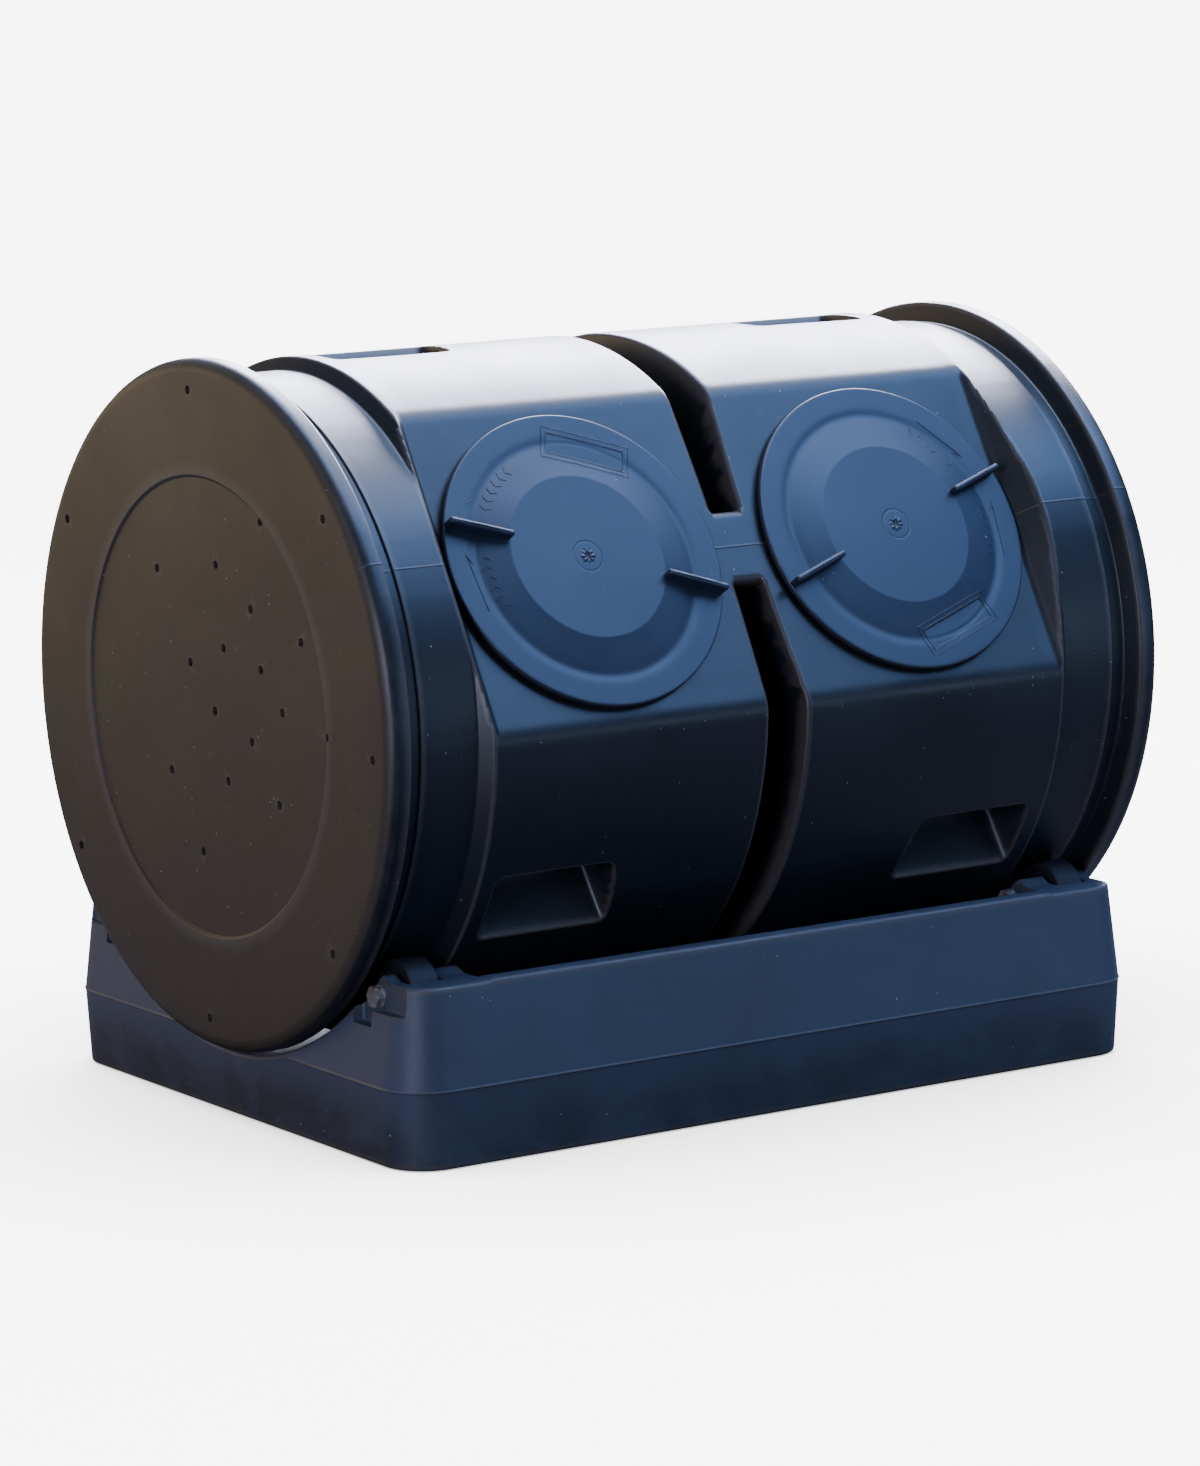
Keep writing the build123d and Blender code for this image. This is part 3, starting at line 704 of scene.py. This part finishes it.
# ---------------------------------------------------------------- finishes
def node(tree, kind, inputs=None, **options):
    """Adds a shader node, sets its options, and sets or links its inputs by name or number."""
    made = tree.nodes.new("ShaderNode" + kind)
    for key, value in options.items():
        setattr(made, key, value)
    for key, value in (inputs or {}).items():
        if isinstance(value, bpy.types.NodeSocket):
            tree.links.new(value, made.inputs[key])
        else:
            made.inputs[key].default_value = value
    return made


def maths(tree, operation, *values, clamp=False):
    """Result of a Math node on numbers or sockets."""
    return node(tree, "Math", dict(enumerate(values)), operation=operation, use_clamp=clamp).outputs[0]


def remap(tree, value, low, high, to_low=0.0, to_high=1.0):
    """A value stretched from one range to another, held at the ends."""
    inputs = {0: value, 1: low, 2: high, 3: to_low, 4: to_high}
    return node(tree, "MapRange", inputs, clamp=True).outputs[0]


def blended(tree, mask, first, second):
    """First colour where the mask is 0, second where it is 1."""
    return node(tree, "Mix", {0: mask, 6: first, 7: second}, data_type="RGBA").outputs[2]


def place_of(tree):
    """The point's own place on the object, in metres."""
    return node(tree, "TexCoord").outputs["Object"]


def effect(name, inputs, outputs):
    """Shader node group with named sockets; returns the group, its inputs and its output node."""
    group = bpy.data.node_groups.new(name, "ShaderNodeTree")
    for label, value in inputs.items():
        socket = group.interface.new_socket(name=label, in_out="INPUT", socket_type="NodeSocketFloat")
        socket.default_value = value
    for label in outputs:
        group.interface.new_socket(name=label, in_out="OUTPUT", socket_type="NodeSocketFloat")
    return group, group.nodes.new("NodeGroupInput").outputs, group.nodes.new("NodeGroupOutput")


def grain_effect():
    """Height of a moulded skin in metres: fine orange peel over slow waves."""
    group, given, out = effect("mould grain", {"Fine": 4e-5, "Wave": 3e-4, "Scale": 700.0}, ["Height"])
    fine = node(group, "TexNoise", {"Vector": place_of(group), "Scale": given["Scale"],
                                    "Detail": 3.0}).outputs[0]
    wave = node(group, "TexNoise", {"Vector": place_of(group), "Scale": 14.0, "Detail": 2.0}).outputs[0]
    fine = maths(group, "MULTIPLY", fine, given["Fine"])
    wave = maths(group, "MULTIPLY", wave, given["Wave"])
    group.links.new(maths(group, "ADD", fine, wave), out.inputs["Height"])
    return group


def smudge_effect():
    """Soft cloudy patches from 0 to 1."""
    group, given, out = effect("smudges", {"Scale": 6.0, "Contrast": 0.16}, ["Mask"])
    cloud = node(group, "TexNoise", {"Vector": place_of(group), "Scale": given["Scale"], "Detail": 5.0,
                                     "Roughness": 0.62, "Distortion": 0.7}).outputs[0]
    low = maths(group, "SUBTRACT", 0.5, given["Contrast"])
    high = maths(group, "ADD", 0.5, given["Contrast"])
    group.links.new(remap(group, cloud, low, high), out.inputs["Mask"])
    return group


def edge_wear_and_highlight_effect():
    """Rubbed edges with a painted warm highlight: the skin's outward bend, broken up by noise."""
    group, given, out = effect("edge wear", {"Amount": 0.8}, ["Mask"])
    bend = node(group, "Attribute", attribute_name="edge").outputs["Fac"]
    broken = node(group, "TexNoise", {"Vector": place_of(group), "Scale": 55.0, "Detail": 6.0,
                                      "Roughness": 0.7}).outputs[0]
    worn = maths(group, "MULTIPLY", bend, given["Amount"])
    worn = maths(group, "SUBTRACT", maths(group, "MULTIPLY", worn, 2.2), broken)
    group.links.new(remap(group, worn, 0.0, 0.9), out.inputs["Mask"])
    return group


def speck_effect():
    """Small pale chips, each with its own size, in a share of the cells of a 3-D pattern."""
    group, given, out = effect("specks", {"Scale": 130.0, "Share": 0.3}, ["Mask"])
    cells = node(group, "TexVoronoi", {"Vector": place_of(group), "Scale": given["Scale"]})
    parts = node(group, "SeparateColor", {0: cells.outputs["Color"]}).outputs
    size = maths(group, "MULTIPLY", parts[0], 0.14)
    inside = maths(group, "LESS_THAN", cells.outputs["Distance"], size)
    chosen = maths(group, "LESS_THAN", parts[1], given["Share"])
    group.links.new(maths(group, "MULTIPLY", inside, chosen), out.inputs["Mask"])
    return group


def scratch_effect():
    """Thin lines where a stretched noise crosses its middle, kept only in some patches."""
    inputs = {"Amount": 0.5, "Long X": 4.0, "Long Y": 4.0, "Long Z": 40.0}
    group, given, out = effect("scratches", inputs, ["Mask"])
    stretch = node(group, "CombineXYZ", {k: given["Long " + a] for k, a in enumerate("XYZ")}).outputs[0]
    spot = node(group, "VectorMath", {0: place_of(group), 1: stretch}, operation="MULTIPLY").outputs[0]
    lines = node(group, "TexNoise", {"Vector": spot, "Scale": 3.0, "Detail": 1.0,
                                     "Distortion": 0.25}).outputs[0]
    lines = maths(group, "ABSOLUTE", maths(group, "SUBTRACT", lines, 0.5))
    thin = remap(group, lines, 0.0, 0.006, 1.0, 0.0)
    patch = node(group, "TexNoise", {"Vector": place_of(group), "Scale": 9.0, "Detail": 3.0}).outputs[0]
    patch = remap(group, patch, 0.54, 0.68)
    found = maths(group, "MULTIPLY", maths(group, "MULTIPLY", thin, patch), given["Amount"])
    group.links.new(found, out.inputs["Mask"])
    return group


EFFECTS = {"grain": grain_effect, "smudges": smudge_effect, "edges": edge_wear_and_highlight_effect, "specks": speck_effect,
           "scratches": scratch_effect}
MADE = {}


def apply_effect(tree, kind, **inputs):
    """Places a shared effect in a material with its own values and returns its one output."""
    if kind not in MADE:
        MADE[kind] = EFFECTS[kind]()
    held = tree.nodes.new("ShaderNodeGroup")
    held.node_tree = MADE[kind]
    for label, value in inputs.items():
        held.inputs[label.replace("_", " ")].default_value = value
    return held.outputs[0]


def start_material(name):
    """New material with an empty node tree."""
    material = bpy.data.materials.new(name)
    material.use_nodes = True
    tree = material.node_tree
    tree.nodes.clear()
    return material, tree


def end_material(tree, colour, roughness, height, metallic=0.0):
    """Principled surface with a bump in real metres."""
    bump = node(tree, "Bump", {"Height": height, "Distance": 1.0, "Strength": 1.0}).outputs[0]
    skin = node(tree, "BsdfPrincipled", {
        "Base Color": colour, "Roughness": roughness, "Metallic": metallic, "Normal": bump,
    })
    out = node(tree, "OutputMaterial")
    tree.links.new(skin.outputs[0], out.inputs["Surface"])


def solid(colour):
    """An opaque colour."""
    return (*colour[:3], 1.0)


def along_axis(tree, axis, low, high):
    """Mask that rises as the point's distance from the middle plane of an axis goes from low to high."""
    value = node(tree, "SeparateXYZ", {0: place_of(tree)}).outputs[axis]
    return remap(tree, maths(tree, "ABSOLUTE", value), low, high)


def drum_finish(colours):
    """Rotomoulded polyethylene: near-black navy, brown ends of dust and painted warm reflection, edges
    rubbed paler with a painted warm highlight, and pale chips.
    """
    material, tree = start_material("drum_polyethylene")
    clouds = apply_effect(tree, "smudges", Scale=5.0, Contrast=0.2)
    colour = blended(tree, clouds, solid(colours.drum), solid([c * 1.6 for c in colours.drum]))
    # Both end discs are painted brown: dust, and a painted warm reflection.
    ends = along_axis(tree, "X", 0.4085, 0.4110)
    dust_and_warm_sheen = apply_effect(tree, "smudges", Scale=3.1, Contrast=0.12)
    darker_patch = [c * d for c, d in zip(colours.dust_and_warm_sheen, (0.8, 0.76, 1.0))]
    brown = blended(tree, dust_and_warm_sheen, solid(colours.dust_and_warm_sheen), solid(darker_patch))
    colour = blended(tree, ends, colour, brown)
    # Convex edges rubbed paler, with a painted warm highlight.
    wear_and_highlight = apply_effect(tree, "edges", Amount=0.75)
    colour = blended(tree, maths(tree, "MULTIPLY", wear_and_highlight, 0.55), colour, solid(colours.wear_and_highlight))
    scuffs = apply_effect(tree, "scratches", Amount=0.35)
    rub = apply_effect(tree, "scratches", Amount=0.3, Long_X=30.0, Long_Y=3.0, Long_Z=9.0)
    marks = maths(tree, "MAXIMUM", scuffs, rub)
    colour = blended(tree, marks, colour, solid(colours.wear_and_highlight))
    chips = apply_effect(tree, "specks", Scale=170.0, Share=0.07)
    colour = blended(tree, maths(tree, "MULTIPLY", chips, 0.6), colour, (0.35, 0.36, 0.4, 1.0))
    roughness = remap(tree, clouds, 0.0, 1.0, 0.36, 0.46)
    roughness = maths(tree, "ADD", roughness, maths(tree, "MULTIPLY", ends, 0.1))
    grain = apply_effect(tree, "grain", Fine=5e-5, Wave=6e-4, Scale=620.0)
    height = maths(tree, "SUBTRACT", grain, maths(tree, "MULTIPLY", marks, 6e-5))
    end_material(tree, colour, roughness, height)
    return material


def lid_finish(colours):
    """Injection-moulded lid: blue-black, satin, with finger marks, and worn blades and edges that carry a
    painted warm highlight.
    """
    material, tree = start_material("lid_polypropylene")
    clouds = apply_effect(tree, "smudges", Scale=9.0, Contrast=0.2)
    colour = blended(tree, clouds, solid(colours.lids), solid([c * 1.35 for c in colours.lids]))
    # Convex edges rubbed paler, with a painted warm highlight.
    wear_and_highlight = apply_effect(tree, "edges", Amount=0.5)
    colour = blended(tree, maths(tree, "MULTIPLY", wear_and_highlight, 0.4), colour, solid(colours.wear_and_highlight))
    scuffs = apply_effect(tree, "scratches", Amount=0.25, Long_X=9.0, Long_Y=14.0, Long_Z=3.0)
    colour = blended(tree, scuffs, colour, solid(colours.wear_and_highlight))
    chips = apply_effect(tree, "specks", Scale=190.0, Share=0.02)
    colour = blended(tree, chips, colour, (0.4, 0.42, 0.45, 1.0))
    roughness = remap(tree, clouds, 0.0, 1.0, 0.4, 0.5)
    grain = apply_effect(tree, "grain", Fine=2.2e-5, Wave=1.2e-4, Scale=1100.0)
    cuts = maths(tree, "MULTIPLY", scuffs, 3e-5)
    end_material(tree, colour, roughness, maths(tree, "SUBTRACT", grain, cuts))
    return material


def base_finish(colours):
    """Rotomoulded base: dusty blue-grey, darker towards the ground in patches, end walls painted paler as
    painted light, edges rubbed with a painted warm highlight, scratched along its ends.
    """
    material, tree = start_material("base_polyethylene")
    clouds = apply_effect(tree, "smudges", Scale=7.0, Contrast=0.2)
    colour = blended(tree, clouds, solid(colours.base), solid([c * 1.4 for c in colours.base]))
    # Painted light: the end walls are painted paler, standing in for the light they catch.
    ends = along_axis(tree, "X", 0.372, 0.394)
    grey = solid([c * d for c, d in zip(colours.base, (1.7, 1.55, 1.9))])
    colour = blended(tree, maths(tree, "MULTIPLY", ends, 0.8), colour, grey)
    # Darker towards the ground, in patches.
    high = along_axis(tree, "Z", 0.03, 0.075)
    patch_strength = apply_effect(tree, "smudges", Scale=11.0, Contrast=0.1)
    patchy = maths(tree, "ADD", 0.35, maths(tree, "MULTIPLY", patch_strength, 0.45))
    low = maths(tree, "MULTIPLY", maths(tree, "SUBTRACT", 1.0, high), patchy, clamp=True)
    colour = blended(tree, low, colour, solid([c * 0.5 for c in colours.base]))
    # Convex edges rubbed paler, with a painted warm highlight.
    wear_and_highlight = apply_effect(tree, "edges", Amount=0.8)
    colour = blended(tree, maths(tree, "MULTIPLY", wear_and_highlight, 0.5), colour, solid(colours.wear_and_highlight))
    scuffs = apply_effect(tree, "scratches", Amount=0.5, Long_X=2.0, Long_Y=2.5, Long_Z=34.0)
    colour = blended(tree, maths(tree, "MULTIPLY", scuffs, ends), colour, solid(colours.chalk))
    chips = apply_effect(tree, "specks", Scale=150.0, Share=0.05)
    colour = blended(tree, chips, colour, solid(colours.chalk))
    roughness = remap(tree, clouds, 0.0, 1.0, 0.5, 0.62)
    grain = apply_effect(tree, "grain", Fine=7e-5, Wave=8e-4, Scale=520.0)
    cuts = maths(tree, "MULTIPLY", scuffs, 8e-5)
    end_material(tree, colour, roughness, maths(tree, "SUBTRACT", grain, cuts))
    return material


def fitting_plastic(name, colour, roughness):
    """Plain moulded fitting with fine grain, smudges and a few chips."""
    material, tree = start_material(name)
    clouds = apply_effect(tree, "smudges", Scale=30.0, Contrast=0.2)
    shade = blended(tree, clouds, solid(colour), solid([c * 1.5 for c in colour]))
    chips = apply_effect(tree, "specks", Scale=300.0, Share=0.1)
    shade = blended(tree, chips, shade, (0.3, 0.3, 0.3, 1.0))
    rough = remap(tree, clouds, 0.0, 1.0, roughness, roughness + 0.1)
    end_material(tree, shade, rough, apply_effect(tree, "grain", Fine=2.5e-5, Wave=5e-5, Scale=1400.0))
    return material


def metal(name, colour, stain_colour, patch_strength, roughness):
    """Plated or sintered metal with a fine grain and stained patches."""
    material, tree = start_material(name)
    patches = apply_effect(tree, "smudges", Scale=90.0, Contrast=0.07)
    clouds = apply_effect(tree, "smudges", Scale=220.0, Contrast=0.25)
    shade = blended(tree, clouds, solid(colour), solid([c * 0.72 for c in colour]))
    rust = maths(tree, "MULTIPLY", patches, patch_strength)
    shade = blended(tree, rust, shade, solid(stain_colour))
    bare = remap(tree, clouds, 0.0, 1.0, roughness, roughness + 0.12)
    rough = maths(tree, "ADD", bare, maths(tree, "MULTIPLY", rust, 0.35))
    shine = maths(tree, "SUBTRACT", 1.0, rust)
    height = apply_effect(tree, "grain", Fine=1.2e-5, Wave=2e-5, Scale=2600.0)
    end_material(tree, shade, rough, height, shine)
    return material


# ---------------------------------------------------------------- stage
def floor_finish():
    """Pale floor with a painted contact shadow close to the object. To light it is dim, so the drum's
    underside stays dark.
    """
    material, tree = start_material("pale_floor")
    fine = node(tree, "TexNoise", {"Vector": place_of(tree), "Scale": 3.0, "Detail": 2.0}).outputs[0]
    shade = remap(tree, fine, 0.3, 0.7, 0.86, 0.9)
    seen = node(tree, "BsdfDiffuse", {"Color": shade}).outputs[0]
    # Painted contact shadow: near the object the floor's glow is dimmed by ambient occlusion.
    near = node(tree, "AmbientOcclusion", {"Distance": 0.5}, samples=8).outputs["AO"]
    glow_with_painted_shadow = remap(tree, near, 0.25, 1.0, 0.9, 9.0)
    glow = node(tree, "Emission", {"Color": (1, 1, 1, 1), "Strength": glow_with_painted_shadow}).outputs[0]
    pale = node(tree, "MixShader", {0: 0.8, 1: seen, 2: glow}).outputs[0]
    dim = node(tree, "BsdfDiffuse", {"Color": (0.06, 0.06, 0.07, 1)}).outputs[0]
    to_eye = node(tree, "LightPath").outputs["Is Camera Ray"]
    mixed = node(tree, "MixShader", {0: to_eye, 1: dim, 2: pale}).outputs[0]
    out = node(tree, "OutputMaterial")
    tree.links.new(mixed, out.inputs["Surface"])
    return material


def light_room():
    """World: white to the eye; for light, a dim room, cool in front and warm behind the left end."""
    world = bpy.data.worlds.new("studio")
    world.use_nodes = True
    tree = world.node_tree
    tree.nodes.clear()
    way = node(tree, "TexCoord").outputs["Generated"]
    side = node(tree, "VectorMath", {0: way, 1: (0.6, -0.8, 0.25)}, operation="DOT_PRODUCT").outputs["Value"]
    warm, cool = (0.30, 0.24, 0.20, 1), (0.10, 0.17, 0.34, 1)
    shade = blended(tree, remap(tree, side, -0.7, 0.7), warm, cool)
    room = node(tree, "Background", {"Color": shade, "Strength": 0.5}).outputs[0]
    white = node(tree, "Background", {"Color": (1, 1, 1, 1), "Strength": 9.0}).outputs[0]
    to_eye = node(tree, "LightPath").outputs["Is Camera Ray"]
    mixed = node(tree, "MixShader", {0: to_eye, 1: room, 2: white}).outputs[0]
    out = node(tree, "OutputWorld")
    tree.links.new(mixed, out.inputs["Surface"])
    bpy.context.scene.world = world


def soft_light(name, way, distance, size, power, colour):
    """Rectangular studio light, aimed at the drum's middle from a direction."""
    data = bpy.data.lights.new(name, "AREA")
    data.shape = "RECTANGLE"
    data.size, data.size_y = size
    data.energy = power
    data.color = colour
    lamp = bpy.data.objects.new(name, data)
    way = Vector(way).normalized()
    lamp.location = Vector((0, 0, AXIS_Z * MM)) + way * distance
    lamp.rotation_euler = way.to_track_quat("Z", "Y").to_euler()
    lamp.visible_camera = False
    bpy.context.scene.collection.objects.link(lamp)


LIGHTS = (  # name, direction, distance, size, power, colour
    ("back_top", (0.55, 0.56, 0.62), 3.0, (2.2, 1.5), 560.0, (0.80, 0.82, 1.0)),
    ("over", (0.10, 0.02, 1.0), 2.6, (2.6, 1.0), 110.0, (0.50, 0.64, 1.0)),
    ("front_right", (0.50, -0.40, 0.77), 2.4, (1.6, 1.2), 60.0, (0.25, 0.46, 1.0)),
    ("left_warm", (-0.62, 0.78, 0.16), 2.6, (2.4, 1.2), 18.0, (1.0, 0.80, 0.52)),
    ("left_front", (-0.82, -0.55, 0.12), 3.0, (0.9, 1.2), 46.0, (0.66, 0.72, 1.0)),
    ("low_right", (0.55, -0.85, 0.06), 3.2, (2.6, 0.6), 14.0, (0.50, 0.66, 1.0)),
)


def add_camera():
    """Camera at the viewing angle: it looks a little below the drum's axis and leans slightly."""
    azimuth, elevation, roll = radians(-34.03), radians(8.70), radians(-0.86)
    distance, aside, drop = 5.086, 0.0024, 0.0653
    back = Vector((sin(azimuth) * cos(elevation), -cos(azimuth) * cos(elevation), sin(elevation)))
    middle = Vector((0, 0, AXIS_Z * MM))
    side = Vector((cos(azimuth), sin(azimuth), 0))
    up = back.cross(side)
    eye = middle + back * distance
    aim = middle + side * aside - up * drop
    data = bpy.data.cameras.new("camera")
    data.lens = 136.5
    data.sensor_width = 36.0
    data.clip_end = 200.0
    camera = bpy.data.objects.new("camera", data)
    ahead = (aim - eye).normalized()
    across = side * cos(roll) + up * sin(roll)
    across = (across - ahead * across.dot(ahead)).normalized()
    above = across.cross(ahead)
    axes = Matrix((across, above, -ahead)).transposed()
    camera.matrix_world = Matrix.Translation(eye) @ axes.to_4x4()
    bpy.context.scene.collection.objects.link(camera)
    bpy.context.scene.camera = camera


def add_floor():
    """Round floor: rings of points, further apart as they go out to the horizon."""
    rings = np.array([0.5, 1, 2, 4, 8, 16, 32, 60]) * 1000
    angle = np.linspace(0, 2 * np.pi, FLOOR_SIDES, endpoint=False)
    rings = rings[:, None]
    points = np.stack([rings * np.cos(angle), rings * np.sin(angle), FLOOR_Z + 0 * rings * angle], -1)
    faces = [lattice_faces(len(rings), FLOOR_SIDES, True)[:, ::-1], np.arange(FLOOR_SIDES)[None]]
    floor = mesh_of("floor", [(points.reshape(-1, 3), faces)])
    floor.data.materials.append(floor_finish())


# ---------------------------------------------------------------- what a user can change
def colour_property(name, description, default):
    return bpy.props.FloatVectorProperty(name=name, description=description, subtype="COLOR", size=3,
                                         min=0.0, max=1.0, default=default)


class TumblerSizes(bpy.types.PropertyGroup):
    """Sizes of the moulded details."""
    vent_radius: bpy.props.FloatProperty(
        name="Air hole radius", description="Radius of the holes drilled through both ends",
        default=0.004, min=0.002, max=0.008, unit="LENGTH")
    mouth_radius: bpy.props.FloatProperty(
        name="Mouth radius", description="Radius of the openings that hold the collars",
        default=0.1177, min=0.1176, max=0.120, unit="LENGTH")
    # This radius also sets where the painted warm edge highlight is full.
    edge_radius: bpy.props.FloatProperty(
        name="Worn edge radius", description="Edges rounded tighter than this count as fully worn",
        default=0.005, min=0.001, max=0.02, unit="LENGTH")


class TumblerColours(bpy.types.PropertyGroup):
    """Colours of the finishes."""
    drum: colour_property("Drum", "Polyethylene of the drum", (0.0040, 0.0052, 0.0066))
    lids: colour_property("Lids", "Plastic of the lids", (0.0095, 0.0150, 0.0290))
    base: colour_property("Base", "Polyethylene of the base", (0.034, 0.044, 0.060))
    # Brown of the drum's ends: dust and a painted warm reflection.
    dust_and_warm_sheen: colour_property("Dusty ends", "Dried soil on the drum's ends", (0.040, 0.031, 0.019))
    # Colour of rubbed edges, also a painted warm edge highlight; scratches use it too.
    wear_and_highlight: colour_property("Rubbed edges", "Plastic that has been rubbed pale", (0.085, 0.070, 0.062))
    chalk: colour_property("Scratches", "Chalky scratches and chips on the base", (0.22, 0.22, 0.26))


# ---------------------------------------------------------------- operators
class TumblerDrum(bpy.types.Operator):
    """Make the drum's moulded skin with its two chambers, air holes and mouths"""
    bl_idname = "tumbler.drum"
    bl_label = "Moulded drum"

    def execute(self, context):
        sizes = context.scene.tumbler_sizes
        drum = mesh_of("drum_moulding", [drum_outside()] + [chamber(side) for side in SIDES.values()])
        carve(drum, drum_holes(sizes.vent_radius / MM, sizes.mouth_radius / MM))
        finish(drum, "drum", drum_finish(context.scene.tumbler_colours), "drum_shell",
               sizes.edge_radius)
        return {"FINISHED"}


class TumblerLids(bpy.types.Operator):
    """Make both twist-off lids with their grip blades, threads, gate marks and raised marks"""
    bl_idname = "tumbler.lids"
    bl_label = "Twist-off lids"

    def execute(self, context):
        material = lid_finish(context.scene.tumbler_colours)
        for side, sign in SIDES.items():
            place = on_facet(sign * MOUTH_X, LID_TOP, LID_TURN[side])
            lid = mesh_of("lid_moulding_" + side, [moved(lid_skin(), place)])
            carve(lid, [moved(label_recess(), place)])
            join(lid, mesh_of("lid_details", [moved(detail, place) for detail in lid_details()]))
            finish(lid, "lid_" + side, material, "lid_" + side,
                   context.scene.tumbler_sizes.edge_radius / 4)
        return {"FINISHED"}


class TumblerBase(bpy.types.Operator):
    """Make the base's moulded skin with its trough, roller housings, recesses and drain hole"""
    bl_idname = "tumbler.base"
    bl_label = "Moulded base"

    def execute(self, context):
        base = mesh_of("base_moulding", [base_skin()])
        carve(base, base_holes())
        carve(base, base_steps())
        finish(base, "base", base_finish(context.scene.tumbler_colours), "base_tank",
               context.scene.tumbler_sizes.edge_radius)
        return {"FINISHED"}


class TumblerFittings(bpy.types.Operator):
    """Give the collars, seals, rollers, bolts and drain their finishes"""
    bl_idname = "tumbler.fittings"
    bl_label = "Fittings' finishes"

    def execute(self, context):
        rubber = fitting_plastic("seal_rubber", (0.012, 0.012, 0.012), 0.62)
        black = fitting_plastic("collar_polypropylene", (0.010, 0.013, 0.020), 0.42)
        nylon = fitting_plastic("roller_nylon", (0.006, 0.007, 0.009), 0.55)
        drain = fitting_plastic("drain_nylon", (0.014, 0.015, 0.018), 0.4)
        zinc = metal("zinc_plated_steel", (0.55, 0.56, 0.58), (0.13, 0.055, 0.028), 0.85, 0.32)
        stainless = metal("stainless_steel", (0.62, 0.62, 0.62), (0.25, 0.22, 0.2), 0.25, 0.26)
        bronze = metal("sintered_bronze", (0.52, 0.33, 0.16), (0.1, 0.07, 0.05), 0.4, 0.4)
        finishes = {
            "collar_screws": stainless, "collar": black, "lid_seal": rubber, "roller_bush": bronze,
            "roller": nylon, "axle_bolt": zinc, "head_washers": zinc, "nut_washers": zinc,
            "spacer_washers": zinc, "lock_nuts": zinc, "drain_gasket": rubber, "drain": drain,
        }
        for name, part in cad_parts.items():
            for start, material in finishes.items():
                if name.startswith(start):
                    for slot in part.material_slots:
                        slot.material = material
                    break
        return {"FINISHED"}


class TumblerStage(bpy.types.Operator):
    """Add the pale floor, the room's light, the studio lights and the camera"""
    bl_idname = "tumbler.stage"
    bl_label = "Stage"

    def execute(self, context):
        add_floor()
        light_room()
        for lamp in LIGHTS:
            soft_light(*lamp)
        add_camera()
        return {"FINISHED"}


OPERATORS = (TumblerDrum, TumblerLids, TumblerBase, TumblerFittings, TumblerStage)


class TumblerPanel(bpy.types.Panel):
    """Sidebar panel with the sizes, the colours and a button for each step"""
    bl_idname = "VIEW3D_PT_tumbler"
    bl_label = "Compost tumbler"
    bl_space_type = "VIEW_3D"
    bl_region_type = "UI"
    bl_category = "Tumbler"

    def draw(self, context):
        for group in (context.scene.tumbler_sizes, context.scene.tumbler_colours):
            for name in group.__annotations__:
                self.layout.prop(group, name)
        for operator in OPERATORS:
            self.layout.operator(operator.bl_idname)


CLASSES = (TumblerSizes, TumblerColours, *OPERATORS, TumblerPanel)


def register():
    for cls in CLASSES:
        bpy.utils.register_class(cls)
    bpy.types.Scene.tumbler_sizes = bpy.props.PointerProperty(type=TumblerSizes)
    bpy.types.Scene.tumbler_colours = bpy.props.PointerProperty(type=TumblerColours)


def unregister():
    del bpy.types.Scene.tumbler_colours
    del bpy.types.Scene.tumbler_sizes
    for cls in reversed(CLASSES):
        bpy.utils.unregister_class(cls)


def main():
    """Registers the add-on and makes everything in order."""
    register()
    for step in OPERATORS:
        group, name = step.bl_idname.split(".")
        getattr(getattr(bpy.ops, group), name)()


if __name__ == "__main__":
    main()
